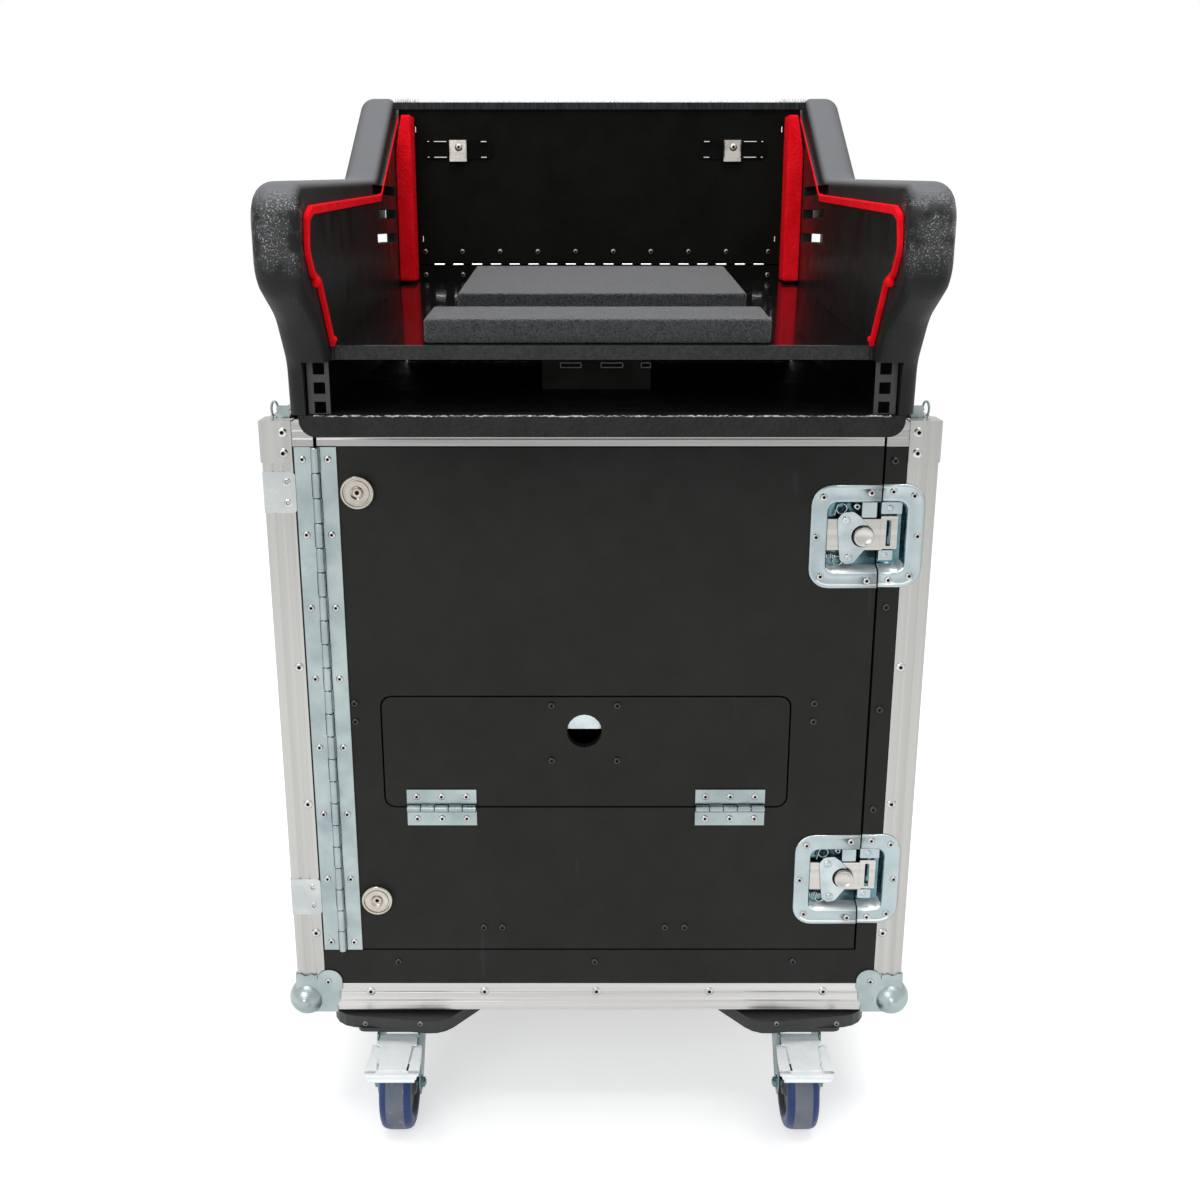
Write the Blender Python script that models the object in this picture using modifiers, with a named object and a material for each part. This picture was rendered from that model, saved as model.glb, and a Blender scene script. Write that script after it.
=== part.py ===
"""Mixer flight case on castors.

A rack base with a hinged front door and a drop-down flap, a mixer housing that slides over
its deck, and a castor board with four swivel castors. Lengths are metres, +Z is up and the
front faces -Y. Positions are written in the case's own frame: X is centred, Y is zero on the
front face of the posts, and Z is zero on the floor. The empty case_origin carries that frame.
"""

import math

import bmesh
import bpy
from mathutils import Matrix, Vector

# General fits
FIT_GAP = 0.0003
RUN_GAP = 0.0005
DOOR_GAP = 0.0015
OVERCUT = 0.002

# Base case
CASE_WIDTH = 0.661
CASE_DEPTH = 0.640
CASE_HEIGHT = 0.650
PANEL_THICKNESS = 0.009
FRONT_THICKNESS = 0.012
DECK_THICKNESS = 0.012
DECK_RECESS = 0.010
ANGLE_WALL = 0.0018
POST_WIDTH = 0.030
BOTTOM_ANGLE_HEIGHT = 0.033
RIM_HEIGHT = 0.024
RIM_WIDTH = 0.017
GROOVE_DEPTH = 0.0005
GROOVE_WIDTH = 0.0012
BALL_RADIUS = 0.020
BALL_INSET = 0.0085
BALL_INSET_HEIGHT = 0.013
CORNER_LEG = 0.048
CORNER_WALL = 0.0015
CORNER_NARROWING = 0.62

# Castors and their board
CASTOR_HEIGHT = 0.127
WHEEL_RADIUS = 0.050
WHEEL_WIDTH = 0.036
CASTOR_TRAIL = 0.038
CASTOR_SIDE_INSET = 0.1065
CASTOR_OFFSET_Y = 0.044
AXLE_RADIUS = 0.006
AXLE_END = 0.003
HUB_RADIUS = 0.014
WHEEL_WEB_INSET = 0.005
TYRE_DEPTH = 0.012
TREAD_CHAMFER = 0.005
WHEEL_STEPS = 20
PLATE_LENGTH = 0.105
PLATE_WIDTH = 0.085
PLATE_THICKNESS = 0.0025
PLATE_CORNER = 0.008
PLATE_MARGIN = 0.010
SWIVEL_HEAD_HEIGHT = 0.013
SWIVEL_HEAD_RADIUS = 0.027
SWIVEL_HEAD_TAPER = 0.004
FORK_WALL = 0.0025
FORK_SIDE_GAP = 0.0035
FORK_CHEEK_BACK = 0.024
FORK_CHEEK_FRONT = 0.040
FORK_EAR = 0.013
FORK_YOKE_FRONT = 0.030
FORK_YOKE_BACK = 0.022
PEDAL_WIDTH = 0.059
PEDAL_AXIS_AHEAD = 0.0345
PEDAL_AXIS_ABOVE = 0.0075
PEDAL_HEEL = 0.004
PEDAL_TOE_START = 0.0125
PEDAL_REACH = 0.066
BOARD_THICKNESS = 0.0145
BOARD_GAP = 0.0055
BATTEN_WIDTH = 0.060
BATTEN_LENGTH = 0.480
BATTEN_INSET = 0.100
BOARD_SIDE_INSET = 0.0345
BOARD_NOSE = 0.018
BOARD_WAIST = 0.060
BOARD_CORNER = 0.030
BOARD_BACK_INSET = 0.004

# Door
DOOR_LEFT_INSET = 0.0525
DOOR_RIGHT_INSET = 0.053
DOOR_RISE = 0.0755
DOOR_TOP_LIP = 0.004
HINGE_LEAF_WIDTH = 0.0205
HINGE_LEAF_THICKNESS = 0.0015
KNUCKLE_RADIUS = 0.004
HINGE_PIN_RADIUS = 0.002
DOOR_KNUCKLES = 22
FINGER_LAP = 0.001
KNUCKLE_SIDES = 8

# Butterfly latches
LATCH_WIDTH = 0.112
LATCH_HEIGHT = 0.105
LATCH_REACH = 0.0695
LATCH_DROP = 0.0905
LATCH_RISE = 0.0835
LATCH_FLANGE = 0.0012
LATCH_CORNER = 0.020
POCKET_REACH = 0.0525
KEEPER_POCKET_REACH = 0.0265
POCKET_HEIGHT = 0.070
POCKET_DEPTH = 0.0135
WING_CENTRE_INSET = 0.0155
WING_BOSS_RADIUS = 0.0105
WING_BOSS_HEIGHT = 0.005
WING_THICKNESS = 0.0015
WING_BACK = 0.0048
LATCH_STUD_RADIUS = 0.0035
SLIDER_REACH = 0.0435
TONGUE_REACH = 0.0205
SLIDER_HEIGHT = 0.047
SLIDER_THICKNESS = 0.0015
SLIDER_FRONT = 0.006
SLIDER_TRAVEL = 0.005
KEEPER_TAB = 0.002
KEEPER_TAB_INSET = 0.010
KEEPER_TAB_LOW = 0.004
KEEPER_TAB_HIGH = 0.016

# Drop-down flap in the door
FLAP_LEFT_MARGIN = 0.053
FLAP_RIGHT_MARGIN = 0.0815
FLAP_RISE = 0.169
FLAP_HEIGHT = 0.122
FLAP_CORNER = 0.010
FLAP_GAP = 0.0015
FLAP_HINGE_INSET = 0.059
FLAP_HINGE_WIDTH = 0.073
FLAP_LEAF_HEIGHT = 0.0203
FLAP_KNUCKLES = 5
FINGER_HOLE_RADIUS = 0.018
FINGER_HOLE_DROP = 0.0375
FINGER_HOLE_SHIFT = 0.0015
SLAM_LATCH_WIDTH = 0.052
SLAM_LATCH_THICKNESS = 0.002
SLAM_LATCH_LIP = 0.010
SLAM_LATCH_BELOW_TOP = 0.001

# Mixer housing
HOUSING_CLEARANCE = 0.015
HOUSING_FRONT = -0.186
HOUSING_BACK = 0.272
HOUSING_FLOOR_WIDTH = 0.501
HOUSING_FLOOR_THICKNESS = 0.018
FLOOR_CORNER = 0.014
FLOOR_LEAD = 0.004
BAY_WIDTH = 0.488
BAY_HEIGHT = 0.0445
SHELF_THICKNESS = 0.012
SHELF_FRONT = -0.183
SHELF_TILT = math.radians(4.5)
INNER_WIDTH = 0.438
ARM_THICKNESS = 0.040
ARM_EDGE = 0.013
ARM_TAPER = 0.008
ARM_TAPER_RISE = 0.0435
INNER_PANEL = 0.008
SIDE_WALL = 0.015
NOSE_FRONT = -0.2826
NOSE_TOP_RISE = 0.1245
NOSE_BOTTOM_RISE = 0.0495
ARM_KNEE_Y = 0.104
ARM_KNEE_RISE = 0.138
ARM_TOP_RISE = 0.243
BOLSTER = 0.046
REAR_WALL_FRONT = 0.248
REAR_WALL_THICKNESS = 0.012
REAR_HINGE_RISE = 0.0505
REAR_FLAP_RISE = 0.2215
REAR_HINGE_GAP = 0.0015
REAR_HINGE_LENGTH = 0.410
REAR_HINGE_LEAF = 0.020
CABLE_NOTCH_HEIGHT = 0.028
RACK_HOLE_SPACING = 0.465
RACK_OPENING = 0.448
RACK_HOLE = 0.0095
RACK_PITCH = 0.015875
RACK_STRIP_WIDTH = 0.0185
RACK_STRIP_WALL = 0.002
RACK_STRIP_DEPTH = 0.020
PAD_THICKNESS = 0.020
FRONT_PAD_WIDTH = 0.281
FRONT_PAD_DEPTH = 0.074
FRONT_PAD_START = -0.177
REAR_PAD_WIDTH = 0.262
REAR_PAD_DEPTH = 0.225
REAR_PAD_START = -0.018
CORNER_PAD_WIDTH = 0.020
CORNER_PAD_DEPTH = 0.034
CORNER_PAD_HEIGHT = 0.172
VENT_LENGTH = 0.130
VENT_HEIGHT = 0.009
VENT_START = 0.075
VENT_RISE = 0.0815
VENT_PITCH = 0.023
CABLE_HOLE_WIDTH = 0.110
CABLE_HOLE_START = -0.012
CABLE_HOLE_LENGTH = 0.165
DECK_HOLE_START = 0.080

# Inside the base
SLIDE_RAIL_WIDTH = 0.030
SLIDE_RAIL_SPACING = 0.400
SLIDE_START = 0.020
SLIDE_BACK_GAP = 0.015
SLIDE_BAR_WIDTH = 0.040
SLIDE_BAR_HEIGHT = 0.010
SLIDE_FRONT_BAR = 0.260
RACK_FRAME_BOARD = 0.018
RACK_FRAME_DEPTH = 0.400
RACK_FRAME_START = 0.060

# Side handles
HANDLE_WIDTH = 0.140
HANDLE_HEIGHT = 0.095
HANDLE_RISE = 0.373
HANDLE_ROD_RADIUS = 0.0035
HANDLE_GRIP_RADIUS = 0.0044
HANDLE_AXIS_DROP = 0.012
HANDLE_GRIP_RISE = 0.014
HANDLE_ARM_INSET = 0.012

# Places worked out from the sizes above
HALF_WIDTH = CASE_WIDTH / 2
BOARD_TOP = CASTOR_HEIGHT + BOARD_THICKNESS
CASE_BOTTOM = BOARD_TOP + BOARD_GAP
CASE_TOP = CASE_BOTTOM + CASE_HEIGHT
SKIN = ANGLE_WALL + FIT_GAP
PANEL_OUTER = HALF_WIDTH - SKIN
PANEL_INNER = PANEL_OUTER - PANEL_THICKNESS
BOTTOM_ANGLE_TOP = CASE_BOTTOM + BOTTOM_ANGLE_HEIGHT
RIM_BOTTOM = CASE_TOP - RIM_HEIGHT
DECK_TOP = CASE_TOP - DECK_RECESS
DECK_BOTTOM = DECK_TOP - DECK_THICKNESS
FLOOR_PANEL_BOTTOM = CASE_BOTTOM + SKIN
FLOOR_PANEL_TOP = FLOOR_PANEL_BOTTOM + FRONT_THICKNESS
REAR_PANEL_BACK = CASE_DEPTH - SKIN
REAR_PANEL_FRONT = REAR_PANEL_BACK - PANEL_THICKNESS
INTERIOR_FRONT = max(FRONT_THICKNESS, RIM_WIDTH) + DOOR_GAP
PLATE_BACK = -FIT_GAP
PLATE_FRONT = PLATE_BACK - HINGE_LEAF_THICKNESS
HINGE_AXIS_Y = PLATE_BACK - KNUCKLE_RADIUS
FINGER_BACK = PLATE_BACK - 0.0002
DOOR_TOP = RIM_BOTTOM
DOOR_LEFT = DOOR_LEFT_INSET - HALF_WIDTH
DOOR_RIGHT = HALF_WIDTH - DOOR_RIGHT_INSET
LATCH_LEFT = DOOR_RIGHT - LATCH_REACH
POCKET_LEFT = DOOR_RIGHT - POCKET_REACH
POCKET_RIGHT = DOOR_RIGHT + KEEPER_POCKET_REACH
WING_CENTRE_X = DOOR_RIGHT - WING_CENTRE_INSET
SLIDER_LEFT = DOOR_RIGHT - SLIDER_REACH
SLIDER_RIGHT = DOOR_RIGHT + TONGUE_REACH
KEEPER_TAB_LEFT = DOOR_RIGHT + KEEPER_TAB_INSET
CASTOR_OFFSET_X = HALF_WIDTH - CASTOR_SIDE_INSET
DOOR_BOTTOM = CASE_BOTTOM + DOOR_RISE
LATCH_UPPER_Z = DOOR_TOP - LATCH_DROP
LATCH_LOWER_Z = DOOR_BOTTOM + LATCH_RISE
FLAP_LEFT = DOOR_LEFT + FLAP_LEFT_MARGIN
FLAP_RIGHT = DOOR_RIGHT - FLAP_RIGHT_MARGIN
FLAP_WIDTH = FLAP_RIGHT - FLAP_LEFT
FLAP_CENTRE_X = (FLAP_LEFT + FLAP_RIGHT) / 2
FINGER_HOLE_X = FLAP_CENTRE_X - FINGER_HOLE_SHIFT
FLAP_HINGE_OFFSET = FLAP_WIDTH / 2 - FLAP_HINGE_INSET
FLAP_BOTTOM = DOOR_BOTTOM + FLAP_RISE
HANDLE_Z = CASE_BOTTOM + HANDLE_RISE
FLAP_TOP = FLAP_BOTTOM + FLAP_HEIGHT
FINGER_HOLE_Z = FLAP_TOP - FINGER_HOLE_DROP
HOUSING_BOTTOM = CASE_TOP + HOUSING_CLEARANCE
HOUSING_FLOOR_TOP = HOUSING_BOTTOM + HOUSING_FLOOR_THICKNESS
BAY_FLOOR = HOUSING_FLOOR_TOP + FIT_GAP
SHELF_BOTTOM_Z = HOUSING_FLOOR_TOP + BAY_HEIGHT
BAY_CEILING = SHELF_BOTTOM_Z - RUN_GAP
SHELF_TOP_Z = SHELF_BOTTOM_Z + SHELF_THICKNESS
POCKET_BOTTOM_Z = SHELF_TOP_Z + 0.010
VENT_LOWEST = SHELF_TOP_Z + VENT_RISE
NOSE_TOP = SHELF_TOP_Z + NOSE_TOP_RISE
NOSE_BOTTOM = SHELF_TOP_Z + NOSE_BOTTOM_RISE
ARM_KNEE_Z = SHELF_TOP_Z + ARM_KNEE_RISE
ARM_TOP_Z = SHELF_TOP_Z + ARM_TOP_RISE
ARM_TAPER_TOP = SHELF_TOP_Z + ARM_TAPER_RISE
REAR_HINGE_Z = SHELF_TOP_Z + REAR_HINGE_RISE
REAR_FLAP_TOP = SHELF_TOP_Z + REAR_FLAP_RISE
INNER_FACE = INNER_WIDTH / 2
ARM_INNER = INNER_FACE + INNER_PANEL - 0.001
ARM_OUTER = INNER_FACE + ARM_THICKNESS
REAR_WALL_BACK = REAR_WALL_FRONT + REAR_WALL_THICKNESS
REAR_HINGE_Y = REAR_WALL_BACK + FIT_GAP + KNUCKLE_RADIUS
WHEEL_INNER_GAP = WHEEL_WIDTH / 2 + FORK_SIDE_GAP
FORK_HEAD_BOTTOM = CASTOR_HEIGHT - PLATE_THICKNESS - SWIVEL_HEAD_HEIGHT
CASE_REACH_BACK = CASE_DEPTH - BALL_INSET + BALL_RADIUS
FRAME_SHIFT = -(NOSE_FRONT + CASE_REACH_BACK) / 2
CORNER_TAGS = ("front_left", "front_right", "rear_left", "rear_right")
CORNER_FACES = ((-1, 1), (1, 1), (-1, -1), (1, -1))

# Colours, roughness and metallic value of each material
LOOKS = {
    "laminate": ((0.024, 0.026, 0.024), 0.55, 0.0),
    "aluminium": ((0.58, 0.56, 0.54), 0.38, 1.0),
    "zinc": ((0.45, 0.52, 0.53), 0.34, 1.0),
    "bare_board": ((0.020, 0.020, 0.020), 0.75, 0.0),
    "coating": ((0.028, 0.029, 0.030), 0.62, 0.0),
    "gloss_tray": ((0.010, 0.010, 0.011), 0.12, 0.0),
    "rack_steel": ((0.030, 0.031, 0.030), 0.45, 0.2),
    "foam": ((0.060, 0.060, 0.068), 0.95, 0.0),
    "red_felt": ((0.55, 0.010, 0.014), 0.92, 0.0),
    "blue_tyre": ((0.025, 0.035, 0.16), 0.50, 0.0),
    "handle_grip": ((0.020, 0.020, 0.020), 0.60, 0.0),
}


def clear_scene():
    for item in list(bpy.data.objects):
        bpy.data.objects.remove(item, do_unlink=True)


def new_collection(name):
    collection = bpy.data.collections.new(name)
    bpy.context.scene.collection.children.link(collection)
    return collection


clear_scene()
PARTS = new_collection("mixer_flight_case")
CUTTERS = new_collection("cutters")
PIVOT_PLACE = {}


def material_for(look, name):
    colour, roughness, metallic = LOOKS[look]
    material = bpy.data.materials.new(name)
    material.use_nodes = True
    shader = material.node_tree.nodes["Principled BSDF"]
    shader.inputs["Base Color"].default_value = (*colour, 1.0)
    shader.inputs["Roughness"].default_value = roughness
    shader.inputs["Metallic"].default_value = metallic
    return material


def new_pivot(name, place, parent=None):
    """An empty at a joint's axis, or at the case frame's origin."""
    empty = bpy.data.objects.new(name, None)
    PARTS.objects.link(empty)
    empty.empty_display_size = 0.03
    place = Vector(place)
    if parent is None:
        empty.location = place
        PIVOT_PLACE[name] = Vector((0.0, 0.0, 0.0))
    else:
        empty.parent = parent
        empty.location = place - PIVOT_PLACE[parent.name]
        PIVOT_PLACE[name] = place
    return empty


ORIGIN = new_pivot("case_origin", (0.0, FRAME_SHIFT, 0.0))


def settle(mesh, name, pivot, collection, offset=(0.0, 0.0, 0.0)):
    """Make an object of a mesh drawn in the case's frame, with its origin in its middle."""
    low = Vector(min(v.co[i] for v in mesh.vertices) for i in range(3))
    high = Vector(max(v.co[i] for v in mesh.vertices) for i in range(3))
    middle = (low + high) / 2
    mesh.transform(Matrix.Translation(-middle))
    item = bpy.data.objects.new(name, mesh)
    collection.objects.link(item)
    item.parent = pivot
    item.location = middle + Vector(offset) - PIVOT_PLACE[pivot.name]
    return item


def part(name, mesh, look, pivot=ORIGIN, smooth=None, offset=(0.0, 0.0, 0.0)):
    item = settle(mesh, name, pivot, PARTS, offset)
    mesh.materials.clear()
    mesh.materials.append(material_for(look, name))
    if smooth is not None:
        mesh.shade_smooth()
        mesh.set_sharp_from_angle(angle=math.radians(smooth))
    return item


def cutter(name, mesh, pivot=ORIGIN, offset=(0.0, 0.0, 0.0)):
    item = settle(mesh, name, pivot, CUTTERS, offset)
    item.display_type = "WIRE"
    item.hide_render = True
    return item


def boolean(item, tool, operation):
    modifier = item.modifiers.new(operation.lower(), "BOOLEAN")
    modifier.operation = operation
    modifier.solver = "EXACT"
    modifier.object = tool


def cut(item, mesh, pivot=ORIGIN, offset=(0.0, 0.0, 0.0)):
    boolean(item, cutter(item.name + "_cut", mesh, pivot, offset), "DIFFERENCE")


def unite(item, mesh, pivot=ORIGIN, offset=(0.0, 0.0, 0.0)):
    boolean(item, cutter(item.name + "_add", mesh, pivot, offset), "UNION")


def round_edges(item, width, segments=2, angle=50):
    modifier = item.modifiers.new("round_edges", "BEVEL")
    modifier.width = width
    modifier.segments = segments
    modifier.limit_method = "ANGLE"
    modifier.angle_limit = math.radians(angle)
    return modifier


def mesh_from(bm, name="shape"):
    bmesh.ops.recalc_face_normals(bm, faces=bm.faces)
    if bm.calc_volume(signed=True) < 0:
        bmesh.ops.reverse_faces(bm, faces=bm.faces)
    mesh = bpy.data.meshes.new(name)
    bm.to_mesh(mesh)
    bm.free()
    return mesh


def block(low, high):
    """A box between two corners."""
    low = Vector(low)
    high = Vector(high)
    size = high - low
    bm = bmesh.new()
    bmesh.ops.create_cube(bm, size=1.0)
    bm.transform(Matrix.Translation((low + high) / 2) @ Matrix.Diagonal((*size, 1.0)))
    return mesh_from(bm)


AXIS_TURN = {
    "X": Matrix.Rotation(math.pi / 2, 4, "Y"),
    "Y": Matrix.Rotation(-math.pi / 2, 4, "X"),
    "Z": Matrix.Identity(4),
}


def rod(centre, axis, radius, length, sides=16, end_radius=None):
    """A cylinder, or a cone's frustum, along X, Y or Z."""
    bm = bmesh.new()
    top = radius if end_radius is None else end_radius
    bmesh.ops.create_cone(bm, cap_ends=True, segments=sides, radius1=radius, radius2=top, depth=length)
    bm.transform(Matrix.Translation(centre) @ AXIS_TURN[axis])
    return mesh_from(bm)


def joined(meshes):
    """Several meshes in one, for a cutter or an addition."""
    bm = bmesh.new()
    for mesh in meshes:
        bm.from_mesh(mesh)
    return mesh_from(bm)


PLANE_TURN = {
    "XY": Matrix.Identity(4),
    "XZ": Matrix.Rotation(math.pi / 2, 4, "X"),
    "YZ": Matrix.Rotation(math.pi / 2, 4, "Z") @ Matrix.Rotation(math.pi / 2, 4, "X"),
}
PLANE_NORMAL = {"XY": Vector((0, 0, 1)), "XZ": Vector((0, 1, 0)), "YZ": Vector((1, 0, 0))}


def slab(plane, low, high, *outlines):
    """A flat outline, with any holes after it, drawn in a plane and given a thickness."""
    curve = bpy.data.curves.new("outline", "CURVE")
    curve.dimensions = "2D"
    curve.fill_mode = "BOTH"
    curve.extrude = (high - low) / 2
    for points in outlines:
        spline = curve.splines.new("POLY")
        spline.points.add(len(points) - 1)
        for point, (u, v) in zip(spline.points, points):
            point.co = (u, v, 0.0, 1.0)
        spline.use_cyclic_u = True
    holder = bpy.data.objects.new("outline", curve)
    CUTTERS.objects.link(holder)
    bpy.context.view_layer.update()
    depsgraph = bpy.context.evaluated_depsgraph_get()
    mesh = bpy.data.meshes.new_from_object(holder.evaluated_get(depsgraph))
    place = Matrix.Translation(PLANE_NORMAL[plane] * (low + high) / 2) @ PLANE_TURN[plane]
    bm = bmesh.new()
    bm.from_mesh(mesh)
    bmesh.ops.remove_doubles(bm, verts=bm.verts, dist=0.00001)
    bm.transform(place)
    bpy.data.objects.remove(holder, do_unlink=True)
    return mesh_from(bm)


def arc_outline(corners, step=30):
    """A closed outline through corners (u, v, radius), each rounded by an arc."""
    points = []
    count = len(corners)
    for index, (u, v, radius) in enumerate(corners):
        corner = Vector((u, v))
        before = (Vector(corners[index - 1][:2]) - corner).normalized()
        after = (Vector(corners[(index + 1) % count][:2]) - corner).normalized()
        if radius == 0:
            points.append((u, v))
            continue
        half = before.angle(after) / 2
        reach = radius / math.tan(half)
        centre = corner + (before + after).normalized() * radius / math.sin(half)
        start = corner + before * reach - centre
        sweep = start.angle_signed(corner + after * reach - centre)
        steps = max(2, round(abs(math.degrees(sweep)) / step))
        for k in range(steps + 1):
            turn = Matrix.Rotation(-sweep * k / steps, 2)
            points.append(tuple(centre + turn @ start))
    return points


def rectangle(u_low, u_high, v_low, v_high, radius=0.0):
    corners = ((u_low, v_low), (u_high, v_low), (u_high, v_high), (u_low, v_high))
    return arc_outline([(u, v, radius) for u, v in corners])


def circle(u, v, radius, sides=20):
    return [(u + radius * math.cos(2 * math.pi * k / sides),
             v + radius * math.sin(2 * math.pi * k / sides)) for k in range(sides)]


def grooved_face(length, count=2):
    """Distances along an angle's face where its shallow grooves start and end, with their depth."""
    stops = []
    for k in range(count):
        middle = length * (k + 1) / (count + 1)
        stops += [(middle - GROOVE_WIDTH, 0.0), (middle, GROOVE_DEPTH), (middle + GROOVE_WIDTH, 0.0)]
    return stops


def angle_section(face, leg):
    """Section of an aluminium angle: u runs inwards from its outer corner, v along its face."""
    outer = [(0.0, 0.0)] + [(depth, along) for along, depth in grooved_face(face)] + [(0.0, face)]
    inner = [(ANGLE_WALL, face), (ANGLE_WALL, ANGLE_WALL), (leg, ANGLE_WALL)]
    under = [(leg, 0.0)] + [(along, depth) for along, depth in reversed(grooved_face(leg))]
    return outer + inner + under


def mitred_frame(section, path, height, upward, closed):
    """Sweep a section round a level path of straight runs, with mitred corners.

    The section's u is measured inwards from the path and its v up or down from height.
    """
    rings = []
    count = len(path)
    for index, here in enumerate(path):
        here = Vector(here)
        normals = []
        if closed or index > 0:
            run = here - Vector(path[index - 1])
            normals.append(Vector((-run.y, run.x)).normalized())
        if closed or index < count - 1:
            run = Vector(path[(index + 1) % count]) - here
            normals.append(Vector((-run.y, run.x)).normalized())
        straight = len(normals) == 1 or normals[0] == normals[1]
        inward = normals[0] if straight else normals[0] + normals[1]
        rings.append([(here.x + inward.x * u, here.y + inward.y * u, height + upward * v)
                      for u, v in section])
    bm = bmesh.new()
    loops = [[bm.verts.new(point) for point in ring] for ring in rings]
    runs = count if closed else count - 1
    size = len(section)
    for k in range(runs):
        first = loops[k]
        second = loops[(k + 1) % count]
        for j in range(size):
            bm.faces.new((first[j], first[(j + 1) % size], second[(j + 1) % size], second[j]))
    if not closed:
        bm.faces.new(loops[0])
        bm.faces.new(loops[-1])
    return mesh_from(bm)


def make_panels():
    """The laminated boards of the base and its front frame."""
    bottom = FLOOR_PANEL_BOTTOM
    top = CASE_TOP - SKIN
    for name, side in (("side_panel_left", -1), ("side_panel_right", 1)):
        ends = sorted((side * PANEL_OUTER, side * PANEL_INNER))
        panel = part(name, block((ends[0], SKIN, bottom), (ends[1], REAR_PANEL_BACK, top)), "laminate")
        cut(panel, handle_window(side))
    inner = PANEL_INNER - FIT_GAP
    part("rear_panel", block((-inner, REAR_PANEL_FRONT, bottom), (inner, REAR_PANEL_BACK, top)), "laminate")
    back = REAR_PANEL_FRONT - FIT_GAP
    part("bottom_panel", block((-inner, SKIN, bottom), (inner, back, FLOOR_PANEL_TOP)), "laminate")
    deck = part("top_deck", block((-inner, INTERIOR_FRONT, DECK_BOTTOM), (inner, back, DECK_TOP)),
                "bare_board")
    cut(deck, cable_hole(DECK_BOTTOM - OVERCUT, DECK_TOP + OVERCUT, DECK_HOLE_START))


def cable_hole(low, high, start):
    """A cutter for the wide hole that cables pass through, in the deck and in the housing."""
    half = CABLE_HOLE_WIDTH / 2
    return block((-half, start, low), (half, start + CABLE_HOLE_LENGTH, high))


def handle_window(side):
    """The opening in a side panel that a sprung handle folds into."""
    ends = sorted((side * (PANEL_INNER - OVERCUT), side * (PANEL_OUTER + OVERCUT)))
    middle = CASE_DEPTH / 2
    half = HANDLE_WIDTH / 2
    return block((ends[0], middle - half, HANDLE_Z - HANDLE_HEIGHT / 2),
                 (ends[1], middle + half, HANDLE_Z + HANDLE_HEIGHT / 2))


def make_front_frame():
    """The fixed black frame round the door: two stiles and a sill, rebated under the angles."""
    inner = PANEL_INNER - FIT_GAP
    low = FLOOR_PANEL_TOP + FIT_GAP
    top = RIM_BOTTOM - FIT_GAP
    left = DOOR_LEFT - DOOR_GAP
    right = DOOR_RIGHT + DOOR_GAP
    sill = DOOR_BOTTOM - DOOR_GAP
    outline = [(-inner, low), (inner, low), (inner, top), (right, top), (right, sill), (left, sill),
               (left, top), (-inner, top)]
    frame = part("front_frame", slab("XZ", 0.0, FRONT_THICKNESS, outline), "laminate")
    edge = HALF_WIDTH - POST_WIDTH - FIT_GAP
    for side in (-1, 1):
        ends = sorted((side * edge, side * HALF_WIDTH))
        cut(frame, block((ends[0], -OVERCUT, low - OVERCUT), (ends[1], SKIN, top + OVERCUT)))
    cut(frame, block((-HALF_WIDTH, -OVERCUT, low - OVERCUT),
                     (HALF_WIDTH, SKIN, BOTTOM_ANGLE_TOP + FIT_GAP)))
    for middle in (LATCH_UPPER_Z, LATCH_LOWER_Z):
        cut(frame, latch_window(middle))


def latch_window(middle):
    """The hole that a latch's pocket needs, through the door, the frame and the post."""
    half = POCKET_HEIGHT / 2 + LATCH_FLANGE + FIT_GAP
    margin = LATCH_FLANGE + FIT_GAP
    return block((POCKET_LEFT - margin, -OVERCUT, middle - half),
                 (POCKET_RIGHT + margin, POST_WIDTH + OVERCUT, middle + half))


def post_section():
    """Corner angle in plan, with its outer corner at the section's origin."""
    grooves = grooved_face(POST_WIDTH)
    outer = [(0.0, 0.0)] + grooves + [(POST_WIDTH, 0.0)]
    inner = [(POST_WIDTH, ANGLE_WALL), (ANGLE_WALL, ANGLE_WALL), (ANGLE_WALL, POST_WIDTH)]
    side = [(0.0, POST_WIDTH)] + [(depth, along) for along, depth in reversed(grooves)]
    return outer + inner + side


def post_mesh(side, back=False):
    """A corner post between the bottom angle and the rim."""
    points = []
    for u, v in post_section():
        x = side * (HALF_WIDTH - u)
        y = CASE_DEPTH - v if back else v
        points.append((x, y))
    return slab("XY", BOTTOM_ANGLE_TOP + FIT_GAP, RIM_BOTTOM - FIT_GAP, points)


def make_edges():
    """The aluminium angles along the case's edges."""
    for name, side in (("post_front_left", -1), ("post_front_right", 1)):
        post = part(name, post_mesh(side), "aluminium")
        if side == 1:
            for middle in (LATCH_UPPER_Z, LATCH_LOWER_Z):
                cut(post, latch_window(middle))
    corners = [(-HALF_WIDTH, CASE_DEPTH), (-HALF_WIDTH, 0.0), (HALF_WIDTH, 0.0), (HALF_WIDTH, CASE_DEPTH)]
    stop = CASE_DEPTH - POST_WIDTH - FIT_GAP
    path = [(-HALF_WIDTH, stop), corners[1], corners[2], (HALF_WIDTH, stop)]
    lower = mitred_frame(angle_section(BOTTOM_ANGLE_HEIGHT, POST_WIDTH), path, CASE_BOTTOM, 1, False)
    part("bottom_edge_frame", lower, "aluminium")
    path = [(DOOR_RIGHT + DOOR_GAP, 0.0), corners[2], corners[3], corners[0], corners[1],
            (DOOR_LEFT - DOOR_GAP, 0.0)]
    rim = mitred_frame(angle_section(RIM_HEIGHT, RIM_WIDTH), path, CASE_TOP, -1, False)
    part("top_rim", rim, "aluminium")
    make_rear_edge()


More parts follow.
